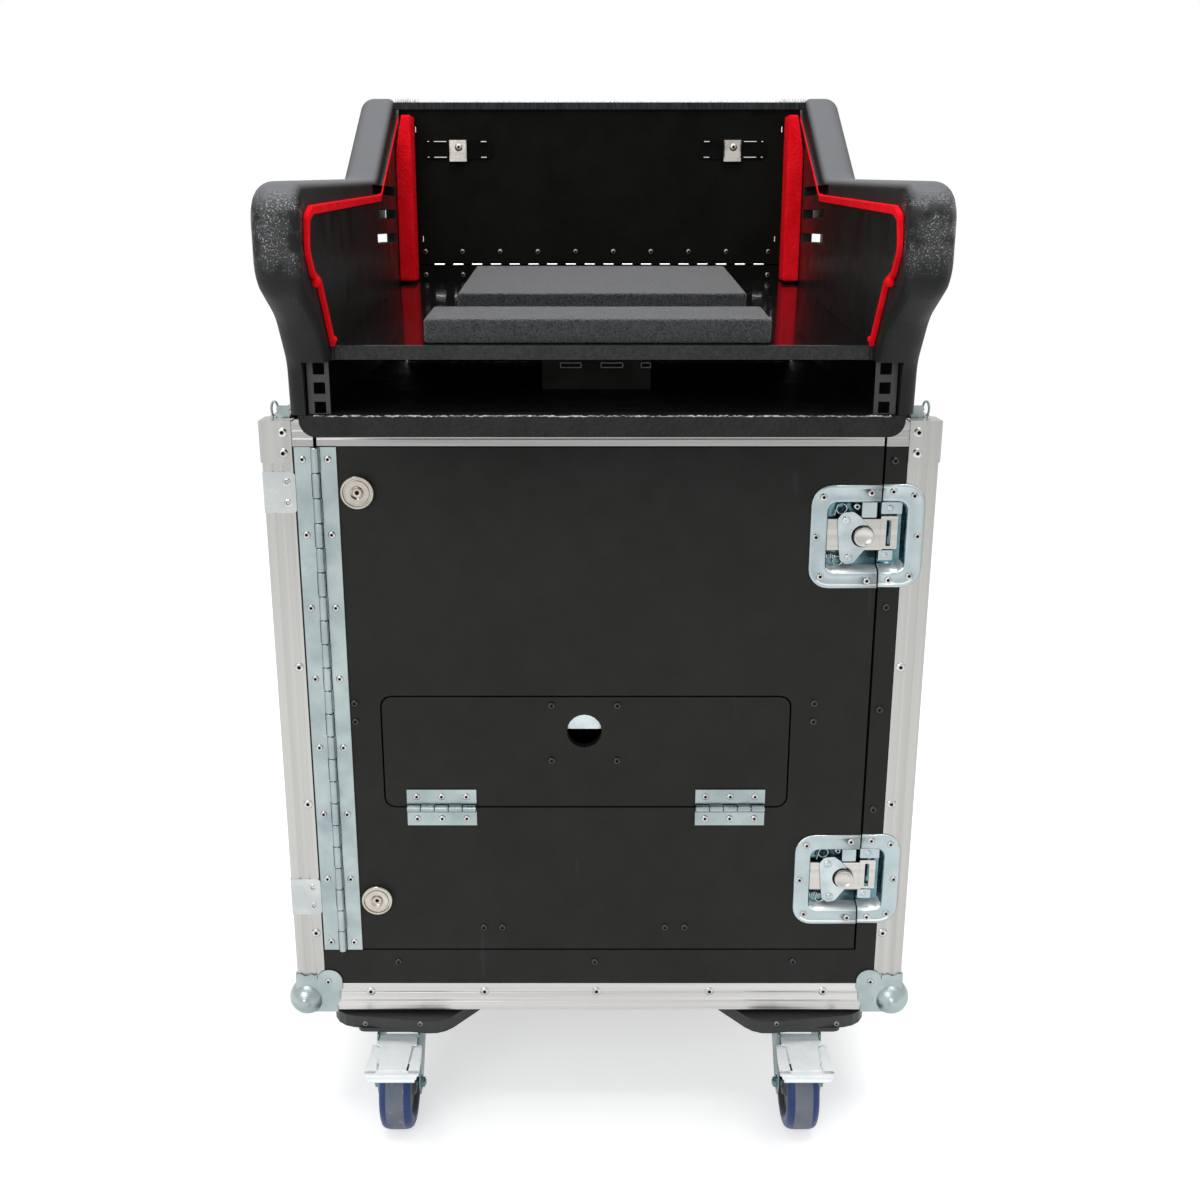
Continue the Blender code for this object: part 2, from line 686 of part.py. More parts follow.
def make_rear_edge():
    """Both rear posts and the rear bottom angle, riveted into one U."""
    rear = part("rear_edge_frame", post_mesh(-1, back=True), "aluminium")
    unite(rear, post_mesh(1, back=True))
    wall = CASE_DEPTH - ANGLE_WALL
    back = block((-HALF_WIDTH, wall, CASE_BOTTOM), (HALF_WIDTH, CASE_DEPTH, BOTTOM_ANGLE_TOP + 0.002))
    under = block((-HALF_WIDTH, CASE_DEPTH - POST_WIDTH, CASE_BOTTOM),
                  (HALF_WIDTH, CASE_DEPTH - ANGLE_WALL / 2, CASE_BOTTOM + ANGLE_WALL))
    unite(rear, back)
    unite(rear, under)


def corner_leg(side_u, side_v, origin_u, origin_v):
    """Outline of one leg: a square corner that narrows to two rounded lobes."""
    leg = CORNER_LEG
    narrow = leg * CORNER_NARROWING
    inset = 0.0004
    corners = [(inset, inset, 0.0), (leg, inset, 0.004), (leg, narrow, 0.012), (narrow, narrow, 0.0),
               (narrow, leg, 0.012), (inset, leg, 0.004)]
    return arc_outline([(origin_u + side_u * u, origin_v + side_v * v, r) for u, v, r in corners], 45)


def make_ball_corners():
    """Zinc ball corners on the four bottom corners."""
    names = ["ball_corner_" + tag for tag in CORNER_TAGS]
    proud = CORNER_WALL + FIT_GAP
    x_out = HALF_WIDTH + proud
    z_out = CASE_BOTTOM - proud
    for name, (side_x, side_y) in zip(names, CORNER_FACES):
        y_face = 0.0 if side_y == 1 else CASE_DEPTH
        y_out = y_face - side_y * proud
        x_span = sorted((side_x * x_out, side_x * (x_out - CORNER_WALL)))
        y_span = sorted((y_out, y_out + side_y * CORNER_WALL))
        front = slab("XZ", *y_span, corner_leg(-side_x, 1, side_x * x_out, z_out))
        corner = part(name, front, "zinc", smooth=40)
        unite(corner, slab("YZ", *x_span, corner_leg(side_y, 1, y_out, z_out)))
        foot = corner_leg(-side_x, side_y, side_x * x_out, y_out)
        unite(corner, slab("XY", z_out, z_out + CORNER_WALL, foot))
        y = y_face + side_y * BALL_INSET
        centre = Vector((side_x * (HALF_WIDTH - BALL_INSET), y, CASE_BOTTOM + BALL_INSET_HEIGHT))
        bm = bmesh.new()
        bmesh.ops.create_uvsphere(bm, u_segments=16, v_segments=8, radius=BALL_RADIUS)
        bm.transform(Matrix.Translation(centre))
        unite(corner, mesh_from(bm))
        x_ends = sorted((side_x * (HALF_WIDTH + FIT_GAP), side_x * (HALF_WIDTH - 2 * CORNER_LEG)))
        y_ends = sorted((y_face - side_y * FIT_GAP, y_face + side_y * 2 * CORNER_LEG))
        cut(corner, block((x_ends[0], y_ends[0], CASE_BOTTOM - FIT_GAP),
                          (x_ends[1], y_ends[1], CASE_BOTTOM + 2 * CORNER_LEG)))


def board_outline():
    """Plan of the castor board: full at the castors, waisted between them."""
    outer = HALF_WIDTH - BOARD_SIDE_INSET
    shoulder = CASTOR_OFFSET_X - PLATE_WIDTH / 2 - PLATE_MARGIN
    waist = shoulder - BOARD_WAIST
    back = CASE_DEPTH - BOARD_BACK_INSET
    r = BOARD_CORNER
    right = [(waist, BOARD_WAIST, 1.5 * r), (shoulder, -BOARD_NOSE, r), (outer, 0.0, r),
             (outer, back, r), (shoulder, back, r), (waist, CASE_DEPTH - BOARD_WAIST, 1.5 * r)]
    left = [(-x, y, r) for x, y, r in reversed(right)]
    return arc_outline(right + left, 20)


def make_castor_board():
    """The board under the case, with the battens on it and the castors' top plates under it."""
    board = slab("XY", CASTOR_HEIGHT, BOARD_TOP, board_outline())
    board = part("castor_board", board, "bare_board")
    half = BATTEN_LENGTH / 2
    for y in (BATTEN_INSET, CASE_DEPTH - BATTEN_INSET - BATTEN_WIDTH):
        unite(board, block((-half, y, BOARD_TOP - OVERCUT),
                           (half, y + BATTEN_WIDTH, FLOOR_PANEL_BOTTOM - FIT_GAP)))
    for x, y in castor_places():
        half_x = PLATE_WIDTH / 2
        half_y = PLATE_LENGTH / 2
        plate = rectangle(x - half_x, x + half_x, y - half_y, y + half_y, PLATE_CORNER)
        unite(board, slab("XY", CASTOR_HEIGHT - PLATE_THICKNESS, CASTOR_HEIGHT + OVERCUT, plate))


def castor_places():
    x = CASTOR_OFFSET_X
    back = CASE_DEPTH - CASTOR_OFFSET_Y
    return ((-x, CASTOR_OFFSET_Y), (x, CASTOR_OFFSET_Y), (-x, back), (x, back))


def fork_side_outline():
    """Side view of a fork cheek: wide under the head, narrow round the axle."""
    top = FORK_HEAD_BOTTOM
    ear = FORK_EAR
    low = WHEEL_RADIUS - ear
    return arc_outline([(FORK_CHEEK_BACK, top, 0.0), (-FORK_CHEEK_FRONT, top, 0.006),
                        (-CASTOR_TRAIL - ear, WHEEL_RADIUS, 0.0),
                        (-CASTOR_TRAIL - 0.85 * ear, low, 0.75 * ear),
                        (-CASTOR_TRAIL + 0.85 * ear, low, 0.75 * ear),
                        (0.25 * FORK_CHEEK_BACK, (low + top) / 2 + ear / 4, 0.020),
                        (FORK_CHEEK_BACK, top - ear, 0.004)])


def make_castor(tag, x, y, pedal):
    """A swivel fork with its axle, a wheel and, in front, a brake pedal."""
    swivel = new_pivot("pivot_swivel_" + tag, (x, y, CASTOR_HEIGHT), ORIGIN)
    head_top = CASTOR_HEIGHT - PLATE_THICKNESS - FIT_GAP
    head_height = head_top - FORK_HEAD_BOTTOM
    head = rod((x, y, head_top - head_height / 2), "Z", SWIVEL_HEAD_RADIUS - SWIVEL_HEAD_TAPER,
               head_height, 20, SWIVEL_HEAD_RADIUS)
    fork = part("castor_fork_" + tag, head, "zinc", swivel, 40)
    inner = WHEEL_INNER_GAP
    outer = inner + FORK_WALL
    outline = [(y + u, v) for u, v in fork_side_outline()]
    across = inner + FORK_WALL / 2
    yoke = block((x - across, y - FORK_YOKE_FRONT, FORK_HEAD_BOTTOM - FORK_WALL),
                 (x + across, y + FORK_YOKE_BACK, FORK_HEAD_BOTTOM + FORK_WALL / 2))
    unite(fork, yoke, swivel)
    unite(fork, slab("YZ", x + inner, x + outer, outline), swivel)
    unite(fork, slab("YZ", x - outer, x - inner, outline), swivel)
    axle_y = y - CASTOR_TRAIL
    length = 2 * (outer + AXLE_END)
    unite(fork, rod((x, axle_y, WHEEL_RADIUS), "X", AXLE_RADIUS, length, 12), swivel)
    axle = new_pivot("pivot_axle_" + tag, (x, axle_y, WHEEL_RADIUS), swivel)
    make_wheel("castor_wheel_" + tag, axle)
    if pedal:
        make_pedal("brake_pedal_" + tag, x, y, swivel)


def make_wheel(name, axle):
    """A turned wheel: tyre, web and hub, open at the bore."""
    half = WHEEL_WIDTH / 2
    web = half - WHEEL_WEB_INSET
    radius = WHEEL_RADIUS
    slope = 0.4 * WHEEL_WEB_INSET
    profile = [(AXLE_RADIUS + RUN_GAP, half), (HUB_RADIUS, half), (HUB_RADIUS + slope, web),
               (radius - TYRE_DEPTH - slope, web), (radius - TYRE_DEPTH, half),
               (radius - TREAD_CHAMFER, half), (radius, half - TREAD_CHAMFER)]
    mirrored = [(r, -h) for r, h in reversed(profile)]
    bm = bmesh.new()
    verts = [bm.verts.new((r, 0.0, h)) for r, h in profile + mirrored]
    for a, b in zip(verts, verts[1:] + verts[:1]):
        bm.edges.new((a, b))
    mesh = bpy.data.meshes.new(name)
    bm.to_mesh(mesh)
    bm.free()
    wheel = bpy.data.objects.new(name, mesh)
    PARTS.objects.link(wheel)
    wheel.parent = axle
    wheel.rotation_euler = (0.0, math.pi / 2, 0.0)
    mesh.materials.append(material_for("blue_tyre", name))
    screw = wheel.modifiers.new("turn", "SCREW")
    screw.axis = "Z"
    screw.steps = WHEEL_STEPS
    screw.render_steps = WHEEL_STEPS
    screw.use_merge_vertices = True
    screw.merge_threshold = 0.00001
    screw.use_smooth_shade = True


def make_pedal(name, x, y, swivel):
    """A brake pedal: a narrow tongue between the fork's cheeks and a wide toe plate over the wheel."""
    axis_y = y - PEDAL_AXIS_AHEAD
    axis_z = WHEEL_RADIUS * 2 + PEDAL_AXIS_ABOVE
    hinge = new_pivot("pivot_" + name, (x, axis_y, axis_z), swivel)
    wide = PEDAL_WIDTH / 2
    narrow = WHEEL_INNER_GAP - FIT_GAP
    heel = PEDAL_HEEL
    joint = PEDAL_TOE_START + 0.0035
    reach = PEDAL_REACH
    tongue = [(heel, 0.003), (-0.003, 0.003), (-joint, -0.0005), (-joint, -0.0035), (0.0, -0.003),
              (heel, -0.001)]
    toe = [(-PEDAL_TOE_START, 0.001), (0.006 - reach, -0.0075), (-reach, -0.0135),
           (0.002 - reach, -0.0155), (0.008 - reach, -0.0105), (-PEDAL_TOE_START, -0.0025)]
    pedal = slab("YZ", x - wide, x + wide, [(axis_y + u, axis_z + v) for u, v in toe])
    pedal = part(name, pedal, "zinc", hinge, 30)
    unite(pedal, slab("YZ", x - narrow, x + narrow, [(axis_y + u, axis_z + v) for u, v in tongue]), hinge)


def make_castors():
    for tag, (x, y) in zip(CORNER_TAGS, castor_places()):
        make_castor(tag, x, y, tag.startswith("front"))


def knuckle_spans(start, length, count, first):
    """Every second knuckle of a hinge, from first, with running gaps at its ends."""
    pitch = length / count
    spans = []
    for k in range(first, count, 2):
        spans.append((start + k * pitch + RUN_GAP / 2, start + (k + 1) * pitch - RUN_GAP / 2))
    return spans


def door_knuckles(first, reach):
    """Every second knuckle of the door's hinge, with the fingers that join them to their leaf."""
    low = DOOR_BOTTOM
    high = DOOR_TOP - FIT_GAP
    ends = sorted((DOOR_LEFT, DOOR_LEFT + reach))
    barrels = []
    fingers = []
    for a, b in knuckle_spans(low, high - low, DOOR_KNUCKLES, first):
        middle = (DOOR_LEFT, HINGE_AXIS_Y, (a + b) / 2)
        barrels.append(rod(middle, "Z", KNUCKLE_RADIUS, b - a, KNUCKLE_SIDES))
        fingers.append(block((ends[0], PLATE_FRONT, a), (ends[1], FINGER_BACK, b)))
    return joined(fingers), joined(barrels)


def make_door_hinge(door):
    """The long piano hinge: a fixed leaf with the pin, and the door's leaf with bored knuckles."""
    low = DOOR_BOTTOM
    high = DOOR_TOP - FIT_GAP
    clear = KNUCKLE_RADIUS + RUN_GAP
    reach = clear + FINGER_LAP
    middle = (DOOR_LEFT, HINGE_AXIS_Y, (low + high) / 2)
    fixed = part("door_hinge_fixed_leaf", block((DOOR_LEFT - HINGE_LEAF_WIDTH, PLATE_FRONT, low),
                                                (DOOR_LEFT - clear, PLATE_BACK, high)), "zinc", smooth=35)
    for mesh in door_knuckles(0, -reach):
        unite(fixed, mesh)
    unite(fixed, rod(middle, "Z", HINGE_PIN_RADIUS, high - low - 2 * RUN_GAP, KNUCKLE_SIDES))
    moving = block((DOOR_LEFT + clear, PLATE_FRONT, low),
                   (DOOR_LEFT + HINGE_LEAF_WIDTH, PLATE_BACK, high))
    moving = part("door_hinge_moving_leaf", moving, "zinc", door, 35)
    for mesh in door_knuckles(1, reach):
        unite(moving, mesh, door)
    bore = rod(middle, "Z", HINGE_PIN_RADIUS + RUN_GAP, high - low + 2 * OVERCUT, KNUCKLE_SIDES)
    cut(moving, bore, door)


def make_door():
    """The front door with its top angle, hinge, latches and flap."""
    door = new_pivot("pivot_door", (DOOR_LEFT, HINGE_AXIS_Y, DOOR_BOTTOM), ORIGIN)
    left = DOOR_LEFT + DOOR_GAP
    right = DOOR_RIGHT - DOOR_GAP / 2
    panel = slab("XZ", 0.0, FRONT_THICKNESS, rectangle(left, right, DOOR_BOTTOM, DOOR_TOP - FIT_GAP),
                 flap_outline(FLAP_GAP))
    panel = part("door_panel", panel, "laminate", door)
    for middle in (LATCH_UPPER_Z, LATCH_LOWER_Z):
        cut(panel, latch_window(middle))
    low = FIT_GAP - RIM_HEIGHT
    grooves = [(depth, -along) for along, depth in grooved_face(RIM_HEIGHT)]
    section = [(0.0, 0.0)] + grooves + [(0.0, low), (FRONT_THICKNESS, low),
                                        (FRONT_THICKNESS, -DOOR_TOP_LIP), (RIM_WIDTH, -DOOR_TOP_LIP),
                                        (RIM_WIDTH, 0.0)]
    outline = [(u, CASE_TOP + v) for u, v in section]
    part("door_top_edge", slab("YZ", left, right, outline), "aluminium", door)
    make_door_hinge(door)
    make_latch("upper", LATCH_UPPER_Z, door)
    make_latch("lower", LATCH_LOWER_Z, door)
    make_flap(door)


def pan(plate_outline, pocket_low, pocket_high):
    """Plate and outer shell of a latch pan, before it is hollowed."""
    front = PLATE_BACK - LATCH_FLANGE
    plate = slab("XZ", front, PLATE_BACK, plate_outline)
    shell = block((pocket_low[0], front + LATCH_FLANGE / 2, pocket_low[1]),
                  (pocket_high[0], POCKET_DEPTH + LATCH_FLANGE, pocket_high[1]))
    return plate, shell


def make_latch(tag, middle, door):
    """A recessed butterfly latch: dish on the door, keeper on the frame, slider and wing."""
    split = DOOR_RIGHT
    low_z = middle - LATCH_HEIGHT / 2
    high_z = middle + LATCH_HEIGHT / 2
    right = LATCH_LEFT + LATCH_WIDTH
    wall = LATCH_FLANGE
    half = POCKET_HEIGHT / 2
    r = LATCH_CORNER
    dish_edge = split - DOOR_GAP / 2
    keeper_edge = split + DOOR_GAP / 2
    outline = arc_outline([(LATCH_LEFT, low_z, r), (dish_edge, low_z, 0), (dish_edge, high_z, 0),
                           (LATCH_LEFT, high_z, r)])
    plate, shell = pan(outline, (POCKET_LEFT - wall, middle - half - wall), (dish_edge, middle + half + wall))
    dish = part("latch_dish_" + tag, plate, "zinc", door, 40)
    unite(dish, shell, door)
    cut(dish, block((POCKET_LEFT, -POCKET_DEPTH, middle - half),
                    (dish_edge + OVERCUT, POCKET_DEPTH, middle + half)), door)
    stud_front = WING_BACK + FIT_GAP
    stud_back = POCKET_DEPTH + wall / 2
    unite(dish, rod((WING_CENTRE_X, (stud_front + stud_back) / 2, middle), "Y", LATCH_STUD_RADIUS,
                    stud_back - stud_front, 12), door)
    outline = arc_outline([(keeper_edge, low_z, 0), (right, low_z, r), (right, high_z, r),
                           (keeper_edge, high_z, 0)])
    plate, shell = pan(outline, (keeper_edge, middle - half - wall),
                       (POCKET_RIGHT + wall, middle + half + wall))
    keeper = part("latch_keeper_" + tag, plate, "zinc", smooth=40)
    unite(keeper, shell)
    cut(keeper, block((keeper_edge - OVERCUT, -POCKET_DEPTH, middle - half),
                      (POCKET_RIGHT, POCKET_DEPTH, middle + half)))
    unite(keeper, block((KEEPER_TAB_LEFT, stud_front, middle - KEEPER_TAB_LOW),
                        (KEEPER_TAB_LEFT + KEEPER_TAB, stud_back, middle + KEEPER_TAB_HIGH)))
    make_slider(tag, middle, door)
    make_wing(tag, middle, door)


def make_slider(tag, middle, door):
    """The latch's tongue plate, slotted for the keeper's tab and the wing's stud."""
    half = SLIDER_HEIGHT / 2
    outline = rectangle(SLIDER_LEFT, SLIDER_RIGHT, middle - half, middle + half, 0.003)
    slot = rectangle(KEEPER_TAB_LEFT - SLIDER_TRAVEL - FIT_GAP, KEEPER_TAB_LEFT + KEEPER_TAB + FIT_GAP,
                     middle - KEEPER_TAB_LOW - OVERCUT, middle + KEEPER_TAB_HIGH + OVERCUT)
    slot.reverse()
    stud = LATCH_STUD_RADIUS + FIT_GAP
    centre = WING_CENTRE_X
    hole = rectangle(centre - stud - SLIDER_TRAVEL, centre + stud, middle - stud, middle + stud, stud / 2)
    hole.reverse()
    back = SLIDER_FRONT + SLIDER_THICKNESS
    track = new_pivot("pivot_latch_slider_" + tag, (centre, (SLIDER_FRONT + back) / 2, middle), door)
    part("latch_slider_" + tag, slab("XZ", SLIDER_FRONT, back, outline, slot, hole), "zinc", track)


def make_wing(tag, middle, door):
    """The butterfly: a two-eared plate with a round boss."""
    centre = WING_CENTRE_X
    front = WING_BACK - WING_THICKNESS
    spindle = new_pivot("pivot_latch_wing_" + tag, (centre, front, middle), door)
    ears = arc_outline([(centre + 0.009, middle - 0.004, 0.002), (centre + 0.006, middle + 0.010, 0.003),
                        (centre - 0.008, middle + 0.024, 0.005), (centre - 0.022, middle + 0.020, 0.005),
                        (centre - 0.021, middle + 0.004, 0.006), (centre - 0.019, middle - 0.020, 0.005),
                        (centre - 0.010, middle - 0.030, 0.004), (centre + 0.001, middle - 0.020, 0.004)])
    wing = part("latch_wing_" + tag, slab("XZ", front, WING_BACK, ears), "zinc", spindle, 40)
    boss_middle = front + WING_THICKNESS / 6 - WING_BOSS_HEIGHT / 2 + FIT_GAP / 2
    unite(wing, rod((centre, boss_middle, middle), "Y", WING_BOSS_RADIUS - 0.001, WING_BOSS_HEIGHT, 16,
                    WING_BOSS_RADIUS), spindle)


def flap_outline(grow=0.0):
    """The flap's face, or the door's hole for it when grown by the gap."""
    half = FLAP_WIDTH / 2 + grow
    centre = FLAP_CENTRE_X
    return rectangle(centre - half, centre + half, FLAP_BOTTOM - grow, FLAP_TOP + grow, FLAP_CORNER + grow)


def make_flap(door):
    """The drop-down flap with its two hinges and finger latch."""
    axis = (FLAP_CENTRE_X, HINGE_AXIS_Y, FLAP_BOTTOM - FLAP_GAP / 2)
    pivot = new_pivot("pivot_flap", axis, door)
    hole = circle(FINGER_HOLE_X, FINGER_HOLE_Z, FINGER_HOLE_RADIUS)
    hole.reverse()
    part("flap_panel", slab("XZ", 0.0, FRONT_THICKNESS, flap_outline(), hole), "laminate", pivot)
    for tag, side in (("left", -1), ("right", 1)):
        make_flap_hinge(tag, FLAP_CENTRE_X + side * FLAP_HINGE_OFFSET, axis[2], door, pivot)
    track = new_pivot("pivot_slam_latch", (FINGER_HOLE_X, FRONT_THICKNESS, FINGER_HOLE_Z), pivot)
    half = SLAM_LATCH_WIDTH / 2
    front = FRONT_THICKNESS + FIT_GAP
    latch = block((FINGER_HOLE_X - half, front, FINGER_HOLE_Z - SLAM_LATCH_THICKNESS / 2),
                  (FINGER_HOLE_X + half, front + SLAM_LATCH_THICKNESS, FLAP_TOP - SLAM_LATCH_BELOW_TOP))
    latch = part("slam_latch", latch, "zinc", track)
    lip = block((FINGER_HOLE_X - half, front, FINGER_HOLE_Z - SLAM_LATCH_THICKNESS),
                (FINGER_HOLE_X + half, front + SLAM_LATCH_LIP, FINGER_HOLE_Z))
    unite(latch, lip, track)


def make_flap_hinge(tag, centre, axis_z, door, pivot):
    """A small butt hinge: lower leaf and pin on the door, upper leaf on the flap."""
    low_x = centre - FLAP_HINGE_WIDTH / 2
    high_x = centre + FLAP_HINGE_WIDTH / 2
    clear = KNUCKLE_RADIUS + RUN_GAP
    sides = (("flap_hinge_door_leaf_", -1, 0, door), ("flap_hinge_flap_leaf_", 1, 1, pivot))
    for name, up, first, owner in sides:
        edge = sorted((axis_z + up * clear, axis_z + up * FLAP_LEAF_HEIGHT))
        leaf = block((low_x, PLATE_FRONT, edge[0]), (high_x, PLATE_BACK, edge[1]))
        leaf = part(name + tag, leaf, "zinc", owner, 35)
        knuckles = []
        fingers = []
        for a, b in knuckle_spans(low_x, FLAP_HINGE_WIDTH, FLAP_KNUCKLES, first):
            finger = sorted((axis_z, axis_z + up * (clear + FINGER_LAP)))
            barrel = ((a + b) / 2, HINGE_AXIS_Y, axis_z)
            knuckles.append(rod(barrel, "X", KNUCKLE_RADIUS, b - a, KNUCKLE_SIDES))
            fingers.append(block((a, PLATE_FRONT, finger[0]), (b, FINGER_BACK, finger[1])))
        unite(leaf, joined(fingers), owner)
        unite(leaf, joined(knuckles), owner)
        place = (centre, HINGE_AXIS_Y, axis_z)
        if first == 0:
            length = FLAP_HINGE_WIDTH - 2 * RUN_GAP
            unite(leaf, rod(place, "X", HINGE_PIN_RADIUS, length, KNUCKLE_SIDES), owner)
        else:
            length = FLAP_HINGE_WIDTH + 2 * OVERCUT
            cut(leaf, rod(place, "X", HINGE_PIN_RADIUS + RUN_GAP, length, KNUCKLE_SIDES), owner)


def shelf_height(y):
    """Height of the tray's upper face at a depth."""
    return SHELF_TOP_Z + (y - SHELF_FRONT) * math.tan(SHELF_TILT)


def arm_outline():
    """Side view of an arm, from under the bay floor over the front lobe and up to the back."""
    rear = HOUSING_BACK
    front = HOUSING_FRONT - FLOOR_LEAD
    low = BAY_FLOOR - 2 * ARM_EDGE
    return arc_outline([
        (rear, low, 0.0), (rear, ARM_TOP_Z, 0.026), (ARM_KNEE_Y, ARM_KNEE_Z, 0.060),
        (NOSE_FRONT, NOSE_TOP, 0.030), (NOSE_FRONT, NOSE_BOTTOM, 0.034),
        (NOSE_FRONT + 0.060, NOSE_BOTTOM - 0.031, 0.050), (front - FLOOR_LEAD, SHELF_BOTTOM_Z - 0.006, 0.020),
        (front, low, 0.0)], 18)


def inner_panel_outline():
    """Side view of the thin lining panel, whose edge the red felt follows."""
    rear = REAR_WALL_BACK - 0.002
    nose = NOSE_FRONT
    return arc_outline([
        (rear, SHELF_BOTTOM_Z, 0.0), (rear, REAR_FLAP_TOP - 0.009, 0.0),
        (ARM_KNEE_Y - 0.004, ARM_KNEE_Z - 0.0165, 0.030), (nose + 0.0406, NOSE_TOP - 0.017, 0.006),
        (nose + 0.0226, NOSE_TOP - 0.023, 0.006), (nose + 0.0176, NOSE_BOTTOM + 0.027, 0.012),
        (nose + 0.0336, NOSE_BOTTOM + 0.009, 0.006), (nose + 0.0566, NOSE_BOTTOM + 0.002, 0.006),
        (SHELF_FRONT, SHELF_TOP_Z, 0.0), (SHELF_FRONT, SHELF_BOTTOM_Z, 0.0)], 25)


def pocket_outline():
    """Side view of the recess in the outer face, which leaves a bolster round the edge."""
    return arc_outline([
        (HOUSING_BACK - BOLSTER, POCKET_BOTTOM_Z, 0.012),
        (HOUSING_BACK - BOLSTER, ARM_TOP_Z - 0.060 - BOLSTER, 0.020),
        (ARM_KNEE_Y + 0.010, ARM_KNEE_Z - BOLSTER, 0.040),
        (NOSE_FRONT + 0.110, NOSE_TOP - BOLSTER - 0.010, 0.030),
        (NOSE_FRONT + 0.135, POCKET_BOTTOM_Z, 0.025)], 30)


def taper_arm(mesh, side):
    """Draw the outer face in towards the housing's floor."""
    top = ARM_TAPER_TOP
    for vertex in mesh.vertices:
        if side * vertex.co.x > (ARM_INNER + ARM_OUTER) / 2 and vertex.co.z < top:
            vertex.co.x -= side * ARM_TAPER * (top - vertex.co.z) / (top - BAY_FLOOR)


def make_arm(name, side, housing):
    """A moulded arm: thick bolster, thin lining panel, cheek beside the rack bay."""
    ends = sorted((side * ARM_INNER, side * ARM_OUTER))
    mesh = slab("YZ", ends[0], ends[1], arm_outline())
    taper_arm(mesh, side)
    arm = part(name, mesh, "coating", housing, 40)
    round_edges(arm, ARM_EDGE, 3, 60)
    panel_ends = sorted((side * INNER_FACE, side * (INNER_FACE + INNER_PANEL + 0.002)))
    unite(arm, slab("YZ", panel_ends[0], panel_ends[1], inner_panel_outline()), housing)
    cheek = sorted((side * (INNER_FACE - OVERCUT), side * BAY_WIDTH / 2))
    front = NOSE_FRONT + 0.060
    back = HOUSING_BACK + OVERCUT
    cut(arm, block((cheek[0], front, BAY_FLOOR - OVERCUT), (cheek[1], back, BAY_CEILING)), housing)
    base = sorted((side * (INNER_FACE - OVERCUT), side * (ARM_OUTER + OVERCUT)))
    cut(arm, block((base[0], front, BAY_FLOOR - 4 * ARM_EDGE), (base[1], back, BAY_FLOOR)), housing)
    outer = sorted((side * (INNER_FACE + SIDE_WALL), side * (ARM_OUTER + OVERCUT)))
    cut(arm, slab("YZ", outer[0], outer[1], pocket_outline()), housing)
    slots = []
    reach = sorted((side * (INNER_FACE - OVERCUT), side * (INNER_FACE + SIDE_WALL + RUN_GAP)))
    for k in range(3):
        z = VENT_LOWEST + k * VENT_PITCH
        slots.append(block((reach[0], VENT_START, z - VENT_HEIGHT / 2),
                           (reach[1], VENT_START + VENT_LENGTH, z + VENT_HEIGHT / 2)))
    cut(arm, joined(slots), housing)


def make_housing():
    """The sliding mixer housing and what it carries."""
    housing = new_pivot("pivot_housing", (0.0, HOUSING_FRONT, HOUSING_BOTTOM), ORIGIN)
    half = HOUSING_FLOOR_WIDTH / 2
    r = FLOOR_CORNER
    section = arc_outline([(-half, HOUSING_BOTTOM, r), (half, HOUSING_BOTTOM, r),
                           (half, HOUSING_FLOOR_TOP, 0), (-half, HOUSING_FLOOR_TOP, 0)], 22)
    floor = slab("XZ", HOUSING_FRONT - FLOOR_LEAD, HOUSING_BACK, section)
    floor = part("housing_floor", floor, "coating", housing)
    cut(floor, cable_hole(HOUSING_BOTTOM - OVERCUT, HOUSING_FLOOR_TOP + OVERCUT, CABLE_HOLE_START), housing)
    make_arm("arm_left", -1, housing)
    make_arm("arm_right", 1, housing)
    make_tray(housing)
    for name, side in (("rack_strip_left", -1), ("rack_strip_right", 1)):
        make_rack_strip(name, side, housing)
    make_rear_wall(housing)


def make_tray(housing):
    """The tilted tray with its two foam pads and the felt corner pads."""
    half = INNER_FACE - FIT_GAP
    back = REAR_WALL_FRONT - FIT_GAP
    outline = [(SHELF_FRONT, SHELF_TOP_Z - SHELF_THICKNESS), (back, shelf_height(back) - SHELF_THICKNESS),
               (back, shelf_height(back)), (SHELF_FRONT, SHELF_TOP_Z)]
    part("tray_shelf", slab("YZ", -half, half, outline), "gloss_tray", housing)
    pads = (("foam_pad_front", FRONT_PAD_START, FRONT_PAD_DEPTH, FRONT_PAD_WIDTH),
            ("foam_pad_rear", REAR_PAD_START, REAR_PAD_DEPTH, REAR_PAD_WIDTH))
    for name, start, depth, width in pads:
        end = start + depth
        low = shelf_height(start) + FIT_GAP
        high = shelf_height(end) + FIT_GAP
        outline = [(start, low), (end, high), (end, high + PAD_THICKNESS), (start, low + PAD_THICKNESS)]
        part(name, slab("YZ", -width / 2, width / 2, outline), "foam", housing)
    for name, side in (("corner_pad_left", -1), ("corner_pad_right", 1)):
        ends = sorted((side * (INNER_FACE - FIT_GAP), side * (INNER_FACE - CORNER_PAD_WIDTH)))
        low = shelf_height(back) + FIT_GAP
        part(name, block((ends[0], back - CORNER_PAD_DEPTH, low), (ends[1], back, low + CORNER_PAD_HEIGHT)),
             "red_felt", housing)


